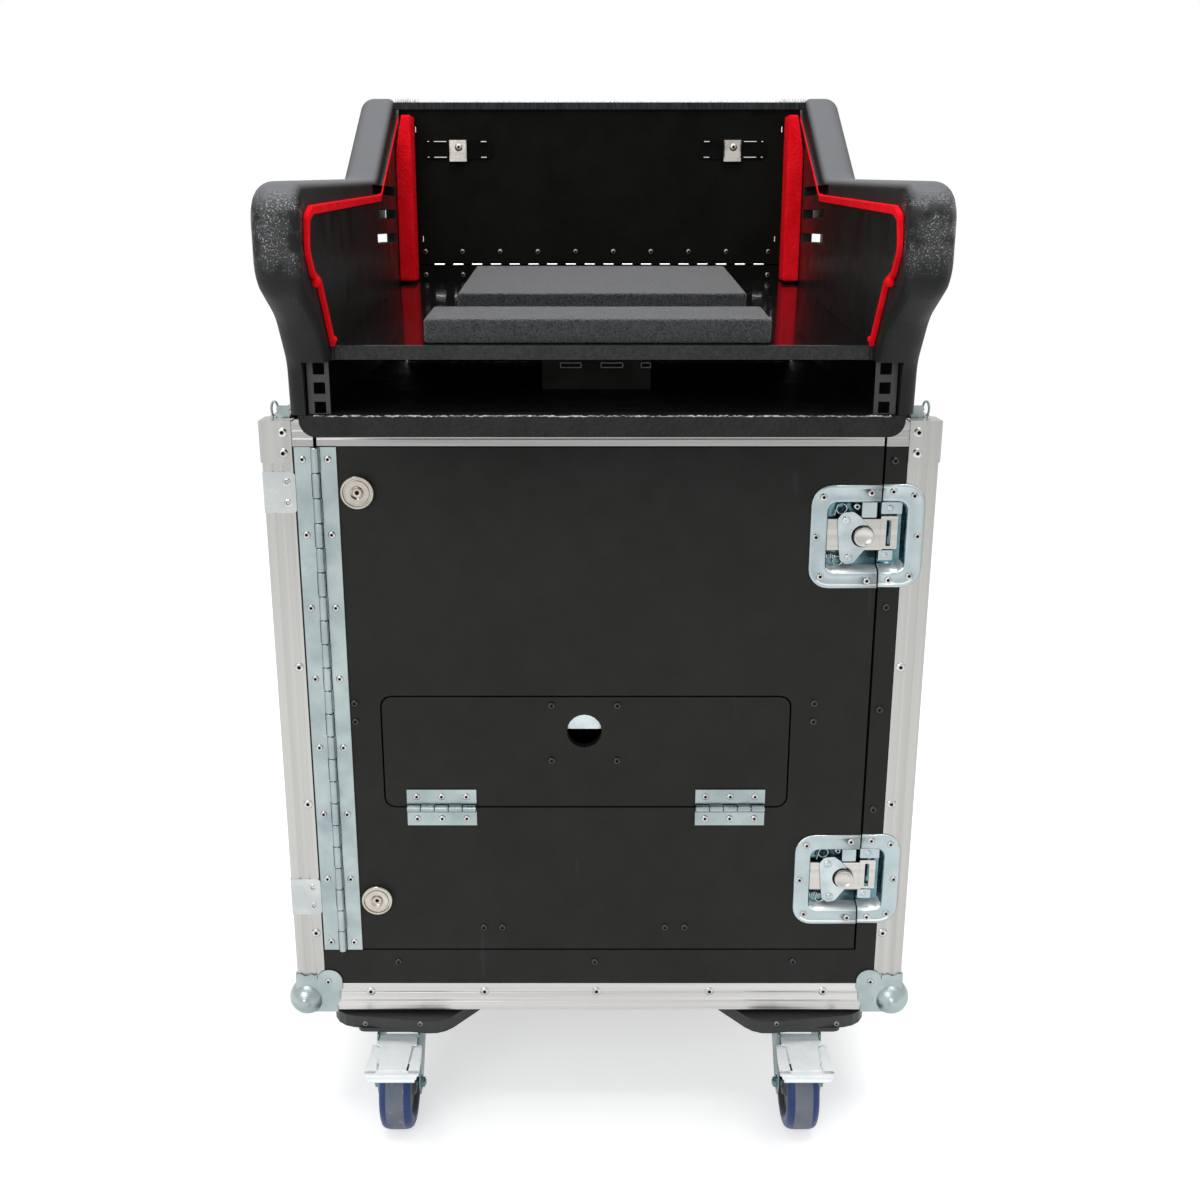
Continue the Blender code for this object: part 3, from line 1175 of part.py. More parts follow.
def make_rack_strip(name, side, housing):
    """A folded rack strip with three square holes."""
    inner = RACK_OPENING / 2
    outer = inner + RACK_STRIP_WIDTH
    hole_x = RACK_HOLE_SPACING / 2
    low = BAY_FLOOR
    high = BAY_CEILING - FIT_GAP
    middle = (low + high) / 2
    plate = [rectangle(*sorted((side * inner, side * outer)), low, high)]
    for k in (-1, 0, 1):
        z = middle + k * RACK_PITCH
        ends = sorted((side * (hole_x - RACK_HOLE / 2), side * (hole_x + RACK_HOLE / 2)))
        hole = rectangle(ends[0], ends[1], z - RACK_HOLE / 2, z + RACK_HOLE / 2)
        hole.reverse()
        plate.append(hole)
    front = HOUSING_FRONT
    strip = part(name, slab("XZ", front, front + RACK_STRIP_WALL, *plate), "rack_steel", housing)
    ends = sorted((side * (outer - RACK_STRIP_WALL), side * outer))
    unite(strip, block((ends[0], front + RACK_STRIP_WALL / 2, low),
                       (ends[1], front + RACK_STRIP_DEPTH, high)), housing)


def make_rear_wall(housing):
    """The fixed sill behind the tray and the hinged flap above it."""
    half = INNER_FACE - FIT_GAP
    sill_top = REAR_HINGE_Z - REAR_HINGE_GAP / 2
    sill = block((-half, REAR_WALL_FRONT, BAY_FLOOR), (half, REAR_WALL_BACK, sill_top))
    sill = part("rear_sill", sill, "laminate", housing)
    notch = CABLE_HOLE_WIDTH / 2
    cut(sill, block((-notch, REAR_WALL_FRONT - OVERCUT, BAY_FLOOR - OVERCUT),
                    (notch, REAR_WALL_BACK + OVERCUT, BAY_FLOOR + CABLE_NOTCH_HEIGHT)), housing)
    flap = new_pivot("pivot_rear_flap", (0.0, REAR_HINGE_Y, REAR_HINGE_Z), housing)
    low = REAR_HINGE_Z + REAR_HINGE_GAP / 2
    edge = half - RUN_GAP
    rear = block((-edge, REAR_WALL_FRONT, low), (edge, REAR_WALL_BACK, REAR_FLAP_TOP))
    rear = part("rear_flap", rear, "laminate", flap)
    half_hinge = REAR_HINGE_LENGTH / 2
    leaf_front = REAR_WALL_BACK + FIT_GAP
    leaf_back = leaf_front + HINGE_LEAF_THICKNESS
    overlap = HINGE_LEAF_THICKNESS / 2
    unite(rear, block((-half_hinge, REAR_WALL_BACK - overlap, low + KNUCKLE_RADIUS),
                      (half_hinge, leaf_back, low + REAR_HINGE_LEAF)), flap)
    barrel = rod((0.0, REAR_HINGE_Y, REAR_HINGE_Z), "X", KNUCKLE_RADIUS - RUN_GAP, REAR_HINGE_LENGTH, 12)
    unite(rear, barrel, flap)
    unite(rear, block((-half_hinge, leaf_front, REAR_HINGE_Z),
                      (half_hinge, leaf_back, low + KNUCKLE_RADIUS + OVERCUT)), flap)


def make_slide_frame():
    """Two low runners on the deck, joined by cross bars, that the housing slides on."""
    low = DECK_TOP + FIT_GAP
    high = HOUSING_BOTTOM - FIT_GAP
    middle = SLIDE_RAIL_SPACING / 2
    half = SLIDE_RAIL_WIDTH / 2
    start = SLIDE_START
    end = REAR_PANEL_FRONT - SLIDE_BACK_GAP
    frame = block((-middle - half, start, low), (-middle + half, end, high))
    frame = part("slide_frame", frame, "rack_steel")
    unite(frame, block((middle - half, start, low), (middle + half, end, high)))
    for y in (SLIDE_FRONT_BAR, end - 1.25 * SLIDE_BAR_WIDTH):
        unite(frame, block((-middle, y, low), (middle, y + SLIDE_BAR_WIDTH, low + SLIDE_BAR_HEIGHT)))


def make_rack_frame():
    """The inner rack: two uprights with rack flanges, joined by boards under and above."""
    low = FLOOR_PANEL_TOP + FIT_GAP
    high = DECK_BOTTOM - FIT_GAP
    start = RACK_FRAME_START
    end = start + RACK_FRAME_DEPTH
    board = RACK_FRAME_BOARD
    inner = BAY_WIDTH / 2
    outer = inner + board
    outline = rectangle(-outer, outer, low, high)
    opening = rectangle(-inner, inner, low + board, high - board)
    opening.reverse()
    frame = part("rack_frame", slab("XZ", start, end, outline, opening), "bare_board")
    cut(frame, cable_hole(high - board - OVERCUT, high + OVERCUT, DECK_HOLE_START))
    flange_inner = RACK_OPENING / 2
    for side in (-1, 1):
        ends = sorted((side * flange_inner, side * (inner + OVERCUT)))
        unite(frame, block((ends[0], start, low + board / 2),
                           (ends[1], start + RACK_STRIP_WALL, high - board / 2)))


def make_handle(name, side):
    """A sprung bail handle that lies in a side panel's window and swings out and up."""
    x = side * (PANEL_INNER + PANEL_OUTER) / 2
    middle = CASE_DEPTH / 2
    half = HANDLE_WIDTH / 2 - FIT_GAP
    top = HANDLE_Z + HANDLE_HEIGHT / 2 - HANDLE_AXIS_DROP
    bottom = HANDLE_Z - HANDLE_HEIGHT / 2 + HANDLE_GRIP_RISE
    arm_y = half - HANDLE_ARM_INSET
    radius = HANDLE_ROD_RADIUS
    pivot = new_pivot("pivot_" + name, (x, middle, top), ORIGIN)
    grip = rod((x, middle, bottom), "Y", HANDLE_GRIP_RADIUS, 2 * (arm_y - radius), 12)
    bail = part(name, grip, "handle_grip", pivot, 40)
    pieces = [rod((x, middle, bottom), "Y", radius, 2 * (arm_y + radius), 10)]
    for end in (-1, 1):
        y = middle + end * arm_y
        stub_y = middle + end * (half + arm_y - radius) / 2
        pieces.append(rod((x, y, (top + bottom) / 2), "Z", 0.95 * radius, top - bottom, 10))
        pieces.append(rod((x, stub_y, top), "Y", radius, half - arm_y + radius, 10))
    for piece in pieces:
        unite(bail, piece, pivot)


def build():
    make_panels()
    make_front_frame()
    make_edges()
    make_ball_corners()
    make_castor_board()
    make_castors()
    make_door()
    make_slide_frame()
    make_rack_frame()
    make_housing()
    make_handle("side_handle_left", -1)
    make_handle("side_handle_right", 1)


build()
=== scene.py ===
"""Looks of the mixer flight case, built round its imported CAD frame.

Lengths are metres in the frame's own axes: +Z up, the front faces -Y, X is centred.
"""

import math
import random

import bmesh
import bpy
from mathutils import Matrix, Vector, noise


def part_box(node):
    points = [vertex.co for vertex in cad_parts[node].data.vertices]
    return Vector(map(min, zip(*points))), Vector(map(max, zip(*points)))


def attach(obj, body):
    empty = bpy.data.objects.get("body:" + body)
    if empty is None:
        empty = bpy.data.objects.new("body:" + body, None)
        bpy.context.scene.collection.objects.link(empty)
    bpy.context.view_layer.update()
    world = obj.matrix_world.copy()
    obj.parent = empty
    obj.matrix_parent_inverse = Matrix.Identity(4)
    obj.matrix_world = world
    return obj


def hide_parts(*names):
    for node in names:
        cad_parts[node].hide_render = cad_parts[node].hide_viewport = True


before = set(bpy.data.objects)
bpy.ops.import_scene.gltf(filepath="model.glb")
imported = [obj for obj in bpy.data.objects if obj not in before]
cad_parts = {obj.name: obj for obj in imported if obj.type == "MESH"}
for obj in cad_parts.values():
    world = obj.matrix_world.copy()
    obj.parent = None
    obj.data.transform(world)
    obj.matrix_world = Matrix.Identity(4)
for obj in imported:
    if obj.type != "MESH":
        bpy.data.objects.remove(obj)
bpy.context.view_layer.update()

# Planes and edges taken from the frame
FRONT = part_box("post_front_left")[0].y
DOOR_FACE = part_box("door_panel")[0].y
CASE_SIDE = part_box("top_rim")[1].x
CASE_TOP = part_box("top_rim")[1].z
CASE_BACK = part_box("rear_edge_frame")[1].y
CASE_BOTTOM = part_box("bottom_edge_frame")[0].z
DECK_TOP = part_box("top_deck")[1].z
ARM_LOW, ARM_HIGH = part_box("arm_right")
FLOOR_LOW, FLOOR_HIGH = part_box("housing_floor")
TRAY_LOW, TRAY_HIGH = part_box("tray_shelf")
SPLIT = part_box("latch_dish_upper")[1].x
HINGE_LOW, HINGE_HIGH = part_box("door_hinge_fixed_leaf")
WALL_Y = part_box("rear_flap")[0].y

# Clearances and sizes that several parts share
FIT = 0.0003
OVERCUT = 0.002
RIVET_RADIUS = 0.0048
TRAY_TILT = math.radians(4.5)
TRAY_THICKNESS = 0.012
TRAY_TOP = TRAY_LOW.z + TRAY_THICKNESS
CORNERS = (("front_left", -1, -1), ("front_right", 1, -1), ("rear_left", -1, 1), ("rear_right", 1, 1))


# Shapes
def to_mesh(bm, name="shape"):
    mesh = bpy.data.meshes.new(name)
    bm.to_mesh(mesh)
    bm.free()
    return mesh


def mesh_from(bm):
    """A mesh whose faces all point out."""
    bmesh.ops.recalc_face_normals(bm, faces=bm.faces)
    if bm.calc_volume(signed=True) < 0:
        bmesh.ops.reverse_faces(bm, faces=bm.faces)
    return to_mesh(bm)


def linked(name, data):
    """A new object in the scene."""
    item = bpy.data.objects.new(name, data)
    bpy.context.scene.collection.objects.link(item)
    return item


def frozen(*items):
    """The mesh that the first object gives; the objects themselves are removed."""
    bpy.context.view_layer.update()
    depsgraph = bpy.context.evaluated_depsgraph_get()
    mesh = bpy.data.meshes.new_from_object(items[0].evaluated_get(depsgraph))
    for item in items:
        bpy.data.objects.remove(item, do_unlink=True)
    return mesh


def block(corner, opposite):
    """A box between two opposite corners, in any order."""
    low = Vector(map(min, corner, opposite))
    high = Vector(map(max, corner, opposite))
    bm = bmesh.new()
    bmesh.ops.create_cube(bm, size=1.0)
    bm.transform(Matrix.Translation((low + high) / 2) @ Matrix.Diagonal((*(high - low), 1.0)))
    return mesh_from(bm)


AXIS_TURN = {
    "X": Matrix.Rotation(math.pi / 2, 4, "Y"),
    "-X": Matrix.Rotation(-math.pi / 2, 4, "Y"),
    "Y": Matrix.Rotation(-math.pi / 2, 4, "X"),
    "-Y": Matrix.Rotation(math.pi / 2, 4, "X"),
    "Z": Matrix.Identity(4),
    "-Z": Matrix.Rotation(math.pi, 4, "X"),
}
PLANE_TURN = {
    "XY": Matrix.Identity(4),
    "XZ": Matrix.Rotation(math.pi / 2, 4, "X"),
    "YZ": Matrix.Rotation(math.pi / 2, 4, "Z") @ Matrix.Rotation(math.pi / 2, 4, "X"),
}
PLANE_NORMAL = {"XY": Vector((0, 0, 1)), "XZ": Vector((0, 1, 0)), "YZ": Vector((1, 0, 0))}


def turned(profile, sides=24, dark_from=None):
    """A profile of (radius, height) turned round Z. Faces from one step on take the second material."""
    bm = bmesh.new()
    rings = []
    for radius, height in profile:
        if radius == 0:
            rings.append([bm.verts.new((0, 0, height))])
            continue
        rings.append([bm.verts.new((radius * math.cos(2 * math.pi * k / sides),
                                    radius * math.sin(2 * math.pi * k / sides), height))
                      for k in range(sides)])
    for step, (a, b) in enumerate(zip(rings, rings[1:])):
        for k in range(sides):
            n = (k + 1) % sides
            if len(a) == 1:
                face = bm.faces.new((a[0], b[k], b[n]))
            elif len(b) == 1:
                face = bm.faces.new((a[k], a[n], b[0]))
            else:
                face = bm.faces.new((a[k], a[n], b[n], b[k]))
            if dark_from is not None and step >= dark_from:
                face.material_index = 1
    return mesh_from(bm)


def rod(centre, axis, radius, length, sides=24):
    """A cylinder with slightly rounded ends along X, Y or Z."""
    half = length / 2
    edge = min(0.15 * radius, 0.0006)
    mesh = turned([(0, -half), (radius - edge, -half), (radius, edge - half), (radius, half - edge),
                   (radius - edge, half), (0, half)], sides)
    mesh.transform(Matrix.Translation(centre) @ AXIS_TURN[axis])
    return mesh


def joined(meshes):
    """Several meshes in one."""
    bm = bmesh.new()
    for mesh in meshes:
        bm.from_mesh(mesh)
    return to_mesh(bm)


def slab(plane, low, high, *outlines):
    """A flat outline, with any holes after it, drawn in a plane and filled between two depths."""
    low, high = sorted((low, high))
    curve = bpy.data.curves.new("outline", "CURVE")
    curve.dimensions = "2D"
    curve.fill_mode = "BOTH"
    curve.extrude = (high - low) / 2
    for points in outlines:
        spline = curve.splines.new("POLY")
        spline.points.add(len(points) - 1)
        for point, (u, v) in zip(spline.points, points):
            point.co = (u, v, 0.0, 1.0)
        spline.use_cyclic_u = True
    bm = bmesh.new()
    bm.from_mesh(frozen(linked("outline", curve)))
    bmesh.ops.remove_doubles(bm, verts=bm.verts, dist=0.00001)
    bm.transform(Matrix.Translation(PLANE_NORMAL[plane] * (low + high) / 2) @ PLANE_TURN[plane])
    return mesh_from(bm)


def arc_outline(corners, step=12):
    """A closed outline through corners (u, v, radius), each rounded by an arc."""
    points = []
    count = len(corners)
    for index, (u, v, radius) in enumerate(corners):
        corner = Vector((u, v))
        before = (Vector(corners[index - 1][:2]) - corner).normalized()
        after = (Vector(corners[(index + 1) % count][:2]) - corner).normalized()
        if radius == 0:
            points.append((u, v))
            continue
        half = before.angle(after) / 2
        reach = radius / math.tan(half)
        centre = corner + (before + after).normalized() * radius / math.sin(half)
        start = corner + before * reach - centre
        sweep = start.angle_signed(corner + after * reach - centre)
        steps = max(2, round(abs(math.degrees(sweep)) / step))
        for k in range(steps + 1):
            turn = Matrix.Rotation(-sweep * k / steps, 2)
            points.append(tuple(centre + turn @ start))
    return points


def rectangle(u_low, u_high, v_low, v_high, radius=0.0):
    corners = ((u_low, v_low), (u_high, v_low), (u_high, v_high), (u_low, v_high))
    return arc_outline([(u, v, radius) for u, v in corners])


def ring(u_low, u_high, v_low, v_high, radius, steps=6):
    """A rounded rectangle that always has the same number of points, for lofting."""
    points = []
    corners = ((u_high, v_high, 0), (u_low, v_high, 1), (u_low, v_low, 2), (u_high, v_low, 3))
    for u, v, quarter in corners:
        cu = u - radius if u == u_high else u + radius
        cv = v - radius if v == v_high else v + radius
        for k in range(steps + 1):
            angle = math.pi / 2 * (quarter + k / steps)
            points.append((cu + radius * math.cos(angle), cv + radius * math.sin(angle)))
    return points


def loft(rings, closed_ends=(False, True)):
    """A skin over rings of 3D points that all have the same count."""
    bm = bmesh.new()
    loops = [[bm.verts.new(point) for point in points] for points in rings]
    for a, b in zip(loops, loops[1:]):
        for k in range(len(a)):
            n = (k + 1) % len(a)
            bm.faces.new((a[k], a[n], b[n], b[k]))
    if closed_ends[0]:
        bm.faces.new(list(reversed(loops[0])))
    if closed_ends[1]:
        bm.faces.new(loops[-1])
    bmesh.ops.recalc_face_normals(bm, faces=bm.faces)
    return to_mesh(bm, "loft")


def tube(path, radius, sides=10, cyclic=False):
    """A round wire along 3D points."""
    curve = bpy.data.curves.new("wire", "CURVE")
    curve.dimensions = "3D"
    curve.bevel_depth = radius
    curve.bevel_resolution = max(1, sides // 4)
    curve.use_fill_caps = True
    spline = curve.splines.new("POLY")
    spline.points.add(len(path) - 1)
    for point, place in zip(spline.points, path):
        point.co = (*place, 1.0)
    spline.use_cyclic_u = cyclic
    return frozen(linked("wire", curve))


def coil(start, end, radius, turns, wire):
    """A coil spring between two points."""
    start = Vector(start)
    along = Vector(end) - start
    side = along.orthogonal().normalized()
    other = along.normalized().cross(side)
    steps = 12 * turns
    path = []
    for k in range(steps + 1):
        angle = 2 * math.pi * k / 12
        path.append(start + along * k / steps + (side * math.cos(angle) + other * math.sin(angle)) * radius)
    return tube(path, wire, 6)


def shade(mesh, angle):
    for polygon in mesh.polygons:
        polygon.use_smooth = True
    mesh.set_sharp_from_angle(angle=math.radians(angle))


def piece(name, mesh, body, looks, angle=40, bevel=0.0, replaces=(), segments=2):
    """A finished piece: its mesh, its materials, the body it moves with and the nodes it stands for."""
    item = linked(name, mesh)
    if mesh.materials:
        mesh.materials.clear()
    for look in [looks] if isinstance(looks, bpy.types.Material) else looks:
        mesh.materials.append(look)
    if bevel:
        soften(item, bevel, segments)
        angle = max(angle, 60)
    shade(mesh, angle)
    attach(item, body)
    if replaces:
        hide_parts(*replaces)
    return item


def soften(item, width, segments=2, angle=35):
    """Rounded edges, with normals that keep the flats flat."""
    bevel = item.modifiers.new("edges", "BEVEL")
    bevel.width = width
    bevel.segments = segments
    bevel.limit_method = "ANGLE"
    bevel.angle_limit = math.radians(angle)
    bevel.use_clamp_overlap = True
    weighted = item.modifiers.new("normals", "WEIGHTED_NORMAL")
    weighted.keep_sharp = True


def thicken(item, thickness):
    """Gives a skin the thickness of its sheet."""
    sheet = item.modifiers.new("sheet", "SOLIDIFY")
    sheet.thickness = thickness
    sheet.offset = -1.0


def boolean(target, tool, operation, solver="EXACT"):
    """One boolean step between two meshes."""
    a = linked("a", target)
    b = linked("b", tool)
    modifier = a.modifiers.new("step", "BOOLEAN")
    modifier.operation = operation
    modifier.object = b
    modifier.solver = solver
    return frozen(a, b)


def cut(target, *tools, solver="EXACT"):
    for tool in tools:
        target = boolean(target, tool, "DIFFERENCE", solver)
    return target


def unite(target, *tools, solver="EXACT"):
    for tool in tools:
        target = boolean(target, tool, "UNION", solver)
    return target


def stamped(shape, places, axis):
    """Copies of one small mesh at several places, with its Z turned to an axis."""
    meshes = []
    for place in places:
        mesh = shape.copy()
        mesh.transform(Matrix.Translation(place) @ AXIS_TURN[axis])
        meshes.append(mesh)
    return joined(meshes)


# Materials
EVEN = (1, 1, 1)
UPRIGHT = (1, 1, 0.01)
LEVEL = (0.01, 0.01, 1)


def empty_tree(owner):
    """The node tree of a material or world, with nothing in it."""
    owner.use_nodes = True
    owner.node_tree.nodes.clear()
    return owner.node_tree


def add(tree, kind, inputs=None, **settings):
    """A shader node with its settings, and its inputs given as values or links."""
    made = tree.nodes.new(kind)
    for name, value in settings.items():
        setattr(made, name, value)
    for name, value in (inputs or {}).items():
        if isinstance(value, bpy.types.NodeSocket):
            tree.links.new(value, made.inputs[name])
        else:
            made.inputs[name].default_value = value
    return made


def grain(tree, place, scale, stretch=EVEN, detail=3.0, low=0.35, high=0.65, kind="noise"):
    """A noise or cell pattern in the object's own coordinates, spread over 0 to 1."""
    mapping = add(tree, "ShaderNodeMapping", {"Vector": place, "Scale": stretch})
    if kind == "cells":
        pattern = add(tree, "ShaderNodeTexVoronoi", {"Vector": mapping.outputs[0], "Scale": scale})
        value = pattern.outputs["Distance"]
    else:
        pattern = add(tree, "ShaderNodeTexNoise",
                      {"Vector": mapping.outputs[0], "Scale": scale, "Detail": detail})
        value = pattern.outputs["Fac"]
    spread = add(tree, "ShaderNodeMapRange", {"Value": value, "From Min": low, "From Max": high})
    return spread.outputs[0]


def blend(tree, mask, first, second):
    """A colour that goes from the first to the second as the mask rises."""
    return add(tree, "ShaderNodeMix", {"Factor": mask, "A": first, "B": (*second, 1.0)},
               data_type="RGBA").outputs["Result"]


def bump(scale, distance, stretch=EVEN, kind="noise"):
    """One layer of relief for a surface."""
    return scale, distance, stretch, kind


def surface(name, colour, second, gloss, blotch=8.0, stretch=EVEN, metallic=0.0, specular=0.5,
            bumps=(), scuff=None, coat=0.0, sheen=0.0, gloss_scale=40.0, blotch_range=(0.35, 0.65)):
    """A procedural finish: two tones, uneven gloss, bump layers and optional scuffs.

    A scuff is (scale, stretch, threshold, colour).
    """
    material = bpy.data.materials.new(name)
    tree = empty_tree(material)
    output = tree.nodes.new("ShaderNodeOutputMaterial")
    place = tree.nodes.new("ShaderNodeTexCoord").outputs["Object"]
    tone = grain(tree, place, blotch, stretch, 4.0, *blotch_range)
    shown = blend(tree, tone, (*colour, 1.0), second)
    rough = grain(tree, place, gloss_scale, stretch)
    uneven = add(tree, "ShaderNodeMapRange", {"Value": rough, "To Min": gloss[0], "To Max": gloss[1]})
    if scuff:
        scale, direction, threshold, tint = scuff
        mask = grain(tree, place, scale, direction, 2.0, threshold, threshold + 0.04)
        shown = blend(tree, mask, shown, tint)
    values = {"Base Color": shown, "Roughness": uneven.outputs[0], "Metallic": metallic,
              "Specular IOR Level": specular, "Coat Weight": coat, "Sheen Weight": sheen}
    if coat:
        values["Coat Roughness"] = 0.04
    shader = add(tree, "ShaderNodeBsdfPrincipled", values)
    normal = None
    for scale, distance, direction, kind in bumps:
        height = grain(tree, place, scale, direction, 3.0, 0.0 if kind == "cells" else 0.3, 0.7, kind)
        inputs = {"Height": height, "Strength": 1.0, "Distance": distance}
        if normal:
            inputs["Normal"] = normal
        normal = add(tree, "ShaderNodeBump", inputs).outputs[0]
    if normal:
        tree.links.new(normal, shader.inputs["Normal"])
    tree.links.new(shader.outputs[0], output.inputs["Surface"])
    return material


def plated(name, colour, second, gloss, blotch, scale, distance):
    """A metal finish with one even layer of relief."""
    return surface(name, colour, second, gloss, blotch, metallic=1.0, bumps=(bump(scale, distance),))


LAMINATE = surface("laminate_skin", (0.0095, 0.0102, 0.0082), (0.0125, 0.0132, 0.0112), (0.42, 0.55), 9.0,
                   specular=0.19, bumps=(bump(900, 0.00012),),
                   scuff=(60.0, (1, 1, 0.12), 0.72, (0.018, 0.019, 0.017)))
ALUMINIUM_UPRIGHT = surface("aluminium_upright", (0.44, 0.435, 0.418), (0.385, 0.38, 0.366), (0.3, 0.42),
                            160.0, UPRIGHT, 1.0, bumps=(bump(1400, 0.00004, UPRIGHT),))
# Painted light: the level rails use a paler copy of the aluminium than the posts, though they face the same
# way.
ALUMINIUM_LEVEL_LIT = surface("aluminium_level_painted_light", (0.56, 0.552, 0.536), (0.47, 0.464, 0.452), (0.26, 0.38), 160.0,
                          LEVEL, 1.0, bumps=(bump(420, 0.0001, LEVEL), bump(1400, 0.00003, LEVEL)))
# Painted shade: the top rim and the door's top edge use a darker copy of the aluminium, as if shaded by the
# housing above.
ALUMINIUM_TOP_SHADED = surface("aluminium_top_painted_shade", (0.39, 0.385, 0.374), (0.33, 0.326, 0.318), (0.28, 0.4), 160.0,
                        LEVEL, 1.0, bumps=(bump(420, 0.00008, LEVEL), bump(1400, 0.00003, LEVEL)))
FORK_ZINC = plated("fork_zinc", (0.2, 0.29, 0.3), (0.13, 0.2, 0.212), (0.26, 0.42), 28.0, 220, 0.00006)
ZINC = plated("zinc_plated", (0.37, 0.43, 0.428), (0.27, 0.325, 0.33), (0.26, 0.42), 28.0, 220, 0.00006)
LATCH_ZINC = plated("latch_zinc", (0.44, 0.505, 0.515), (0.35, 0.415, 0.43), (0.26, 0.4), 30.0, 200, 0.00005)
# Painted highlight: a much paler zinc for the latch faces that tilt up towards the light.
ZINC_PAINTED_HIGHLIGHT = surface("zinc_painted_highlight", (0.86, 0.9, 0.9), (0.74, 0.8, 0.81), (0.3, 0.42), 60.0, metallic=0.7,
                   bumps=(bump(300, 0.00004),))
# Painted shade: a darker teal copy of the zinc for the inside of the latch pocket.
ZINC_PAINTED_RECESS_SHADE = plated("zinc_painted_recess_shade", (0.15, 0.265, 0.295), (0.09, 0.18, 0.205), (0.18, 0.34), 60.0, 160, 0.00012)
BRIGHT_ZINC = plated("bright_zinc", (0.5, 0.56, 0.57), (0.37, 0.425, 0.44), (0.18, 0.34), 45.0, 160, 0.00008)
# Painted highlight: the pedals' plated steel is given a near-white, non-metal colour so that it shows as
# brightly lit.
PEDAL_ZINC_PAINTED_HIGHLIGHT = surface("pedal_zinc_painted_highlight", (0.96, 0.97, 0.97), (0.86, 0.9, 0.9), (0.28, 0.42), 50.0, metallic=0.0,
                     bumps=(bump(200, 0.00006),))
BRUSHED = surface("brushed_plate", (0.54, 0.52, 0.49), (0.44, 0.425, 0.4), (0.22, 0.36), 220.0, LEVEL, 1.0,
                  bumps=(bump(900, 0.00004, LEVEL),))
NICKEL = plated("nickel_plate", (0.5, 0.465, 0.405), (0.38, 0.355, 0.315), (0.2, 0.34), 90.0, 500, 0.00003)
STRIKE_STEEL = plated("strike_steel", (0.5, 0.525, 0.515), (0.42, 0.445, 0.44), (0.24, 0.36), 40.0, 300,
                      0.00004)
RIVET = plated("rivet_alloy", (0.56, 0.56, 0.54), (0.4, 0.4, 0.39), (0.16, 0.28), 120.0, 700, 0.00004)
HOLE_DARK = surface("hole_shadow", (0.003, 0.003, 0.003), (0.006, 0.006, 0.006), (0.5, 0.7), 200.0,
                    specular=0.1, bumps=(bump(900, 0.00003),))
BLACK_SCREW = surface("black_screw", (0.007, 0.007, 0.008), (0.015, 0.015, 0.017), (0.18, 0.3), 150.0,
                      specular=0.5, bumps=(bump(700, 0.00004),))
MOULDING = surface("coarse_moulding", (0.006, 0.0064, 0.006), (0.011, 0.0116, 0.011), (0.36, 0.5), 60.0,
                   specular=0.2, bumps=(bump(260, 0.001), bump(900, 0.0002)))
BARE_BOARD = surface("painted_board", (0.0125, 0.014, 0.013), (0.022, 0.0235, 0.0215), (0.38, 0.6), 40.0,
                     (1, 0.1, 1), specular=0.35, bumps=(bump(300, 0.00025, (1, 0.15, 1)),),
                     scuff=(50.0, (1, 0.2, 1), 0.69, (0.05, 0.05, 0.045)))
CASTOR_BOARD = surface("castor_board_paint", (0.022, 0.0235, 0.0225), (0.036, 0.0375, 0.035), (0.38, 0.6),
                       40.0, (0.1, 1, 1), specular=0.35, bumps=(bump(300, 0.00025, (0.15, 1, 1)),),
                       scuff=(50.0, (0.2, 1, 1), 0.69, (0.07, 0.07, 0.065)))
GLOSS = surface("gloss_black", (0.003, 0.003, 0.0032), (0.0052, 0.0052, 0.0058), (0.11, 0.15), 12.0,
                specular=0.42, bumps=(bump(45, 0.00004),), coat=0.3,
                scuff=(240.0, EVEN, 0.735, (0.04, 0.04, 0.04)))
TRAY_EDGE = surface("tray_edge", (0.009, 0.0095, 0.0095), (0.024, 0.0255, 0.0255), (0.45, 0.65), 420.0,
                    specular=0.24, bumps=(bump(600, 0.0004),))
RACK_STEEL = surface("rack_steel", (0.018, 0.02, 0.017), (0.028, 0.03, 0.026), (0.34, 0.48), 60.0,
                     metallic=0.1, bumps=(bump(1200, 0.00006),))
FOAM = surface("grey_foam", (0.036, 0.037, 0.04), (0.055, 0.056, 0.06), (0.92, 1.0), 220.0, specular=0.1,
               bumps=(bump(1100, 0.0008, EVEN, "cells"), bump(420, 0.0009)), sheen=0.42,
               scuff=(560.0, EVEN, 0.54, (0.012, 0.018, 0.018)))
FELT = surface("red_felt", (0.8, 0.0045, 0.011), (0.9, 0.009, 0.018), (0.94, 1.0), 60.0, specular=0.04,
               bumps=(bump(900, 0.0004), bump(250, 0.0003)))
TYRE = surface("blue_tyre", (0.01, 0.036, 0.135), (0.015, 0.048, 0.17), (0.34, 0.5), 50.0, specular=0.35,
               bumps=(bump(300, 0.0002),))
TREAD = surface("worn_tread", (0.115, 0.135, 0.185), (0.175, 0.185, 0.215), (0.55, 0.75), 30.0, EVEN,
                bumps=(bump(350, 0.0004),), scuff=(90.0, EVEN, 0.64, (0.23, 0.24, 0.25)))
RUBBER = surface("handle_rubber", (0.012, 0.012, 0.012), (0.02, 0.02, 0.02), (0.55, 0.7), 60.0,
                 bumps=(bump(500, 0.0003),))
BRISTLE = surface("brush_bristle", (0.006, 0.008, 0.009), (0.026, 0.033, 0.038), (0.6, 0.8), 700.0,
                  (1, 1, 0.1), specular=0.2, bumps=(bump(1200, 0.0006, (1, 1, 0.05)),))
DARK_WALL = surface("dark_wall", (0.0022, 0.0025, 0.0016), (0.0036, 0.004, 0.003), (0.6, 0.75), 15.0,
                    specular=0.06, bumps=(bump(700, 0.0002),))
DULL_RIVET = plated("dull_rivet", (0.22, 0.22, 0.21), (0.15, 0.15, 0.145), (0.26, 0.4), 120.0, 700, 0.00004)
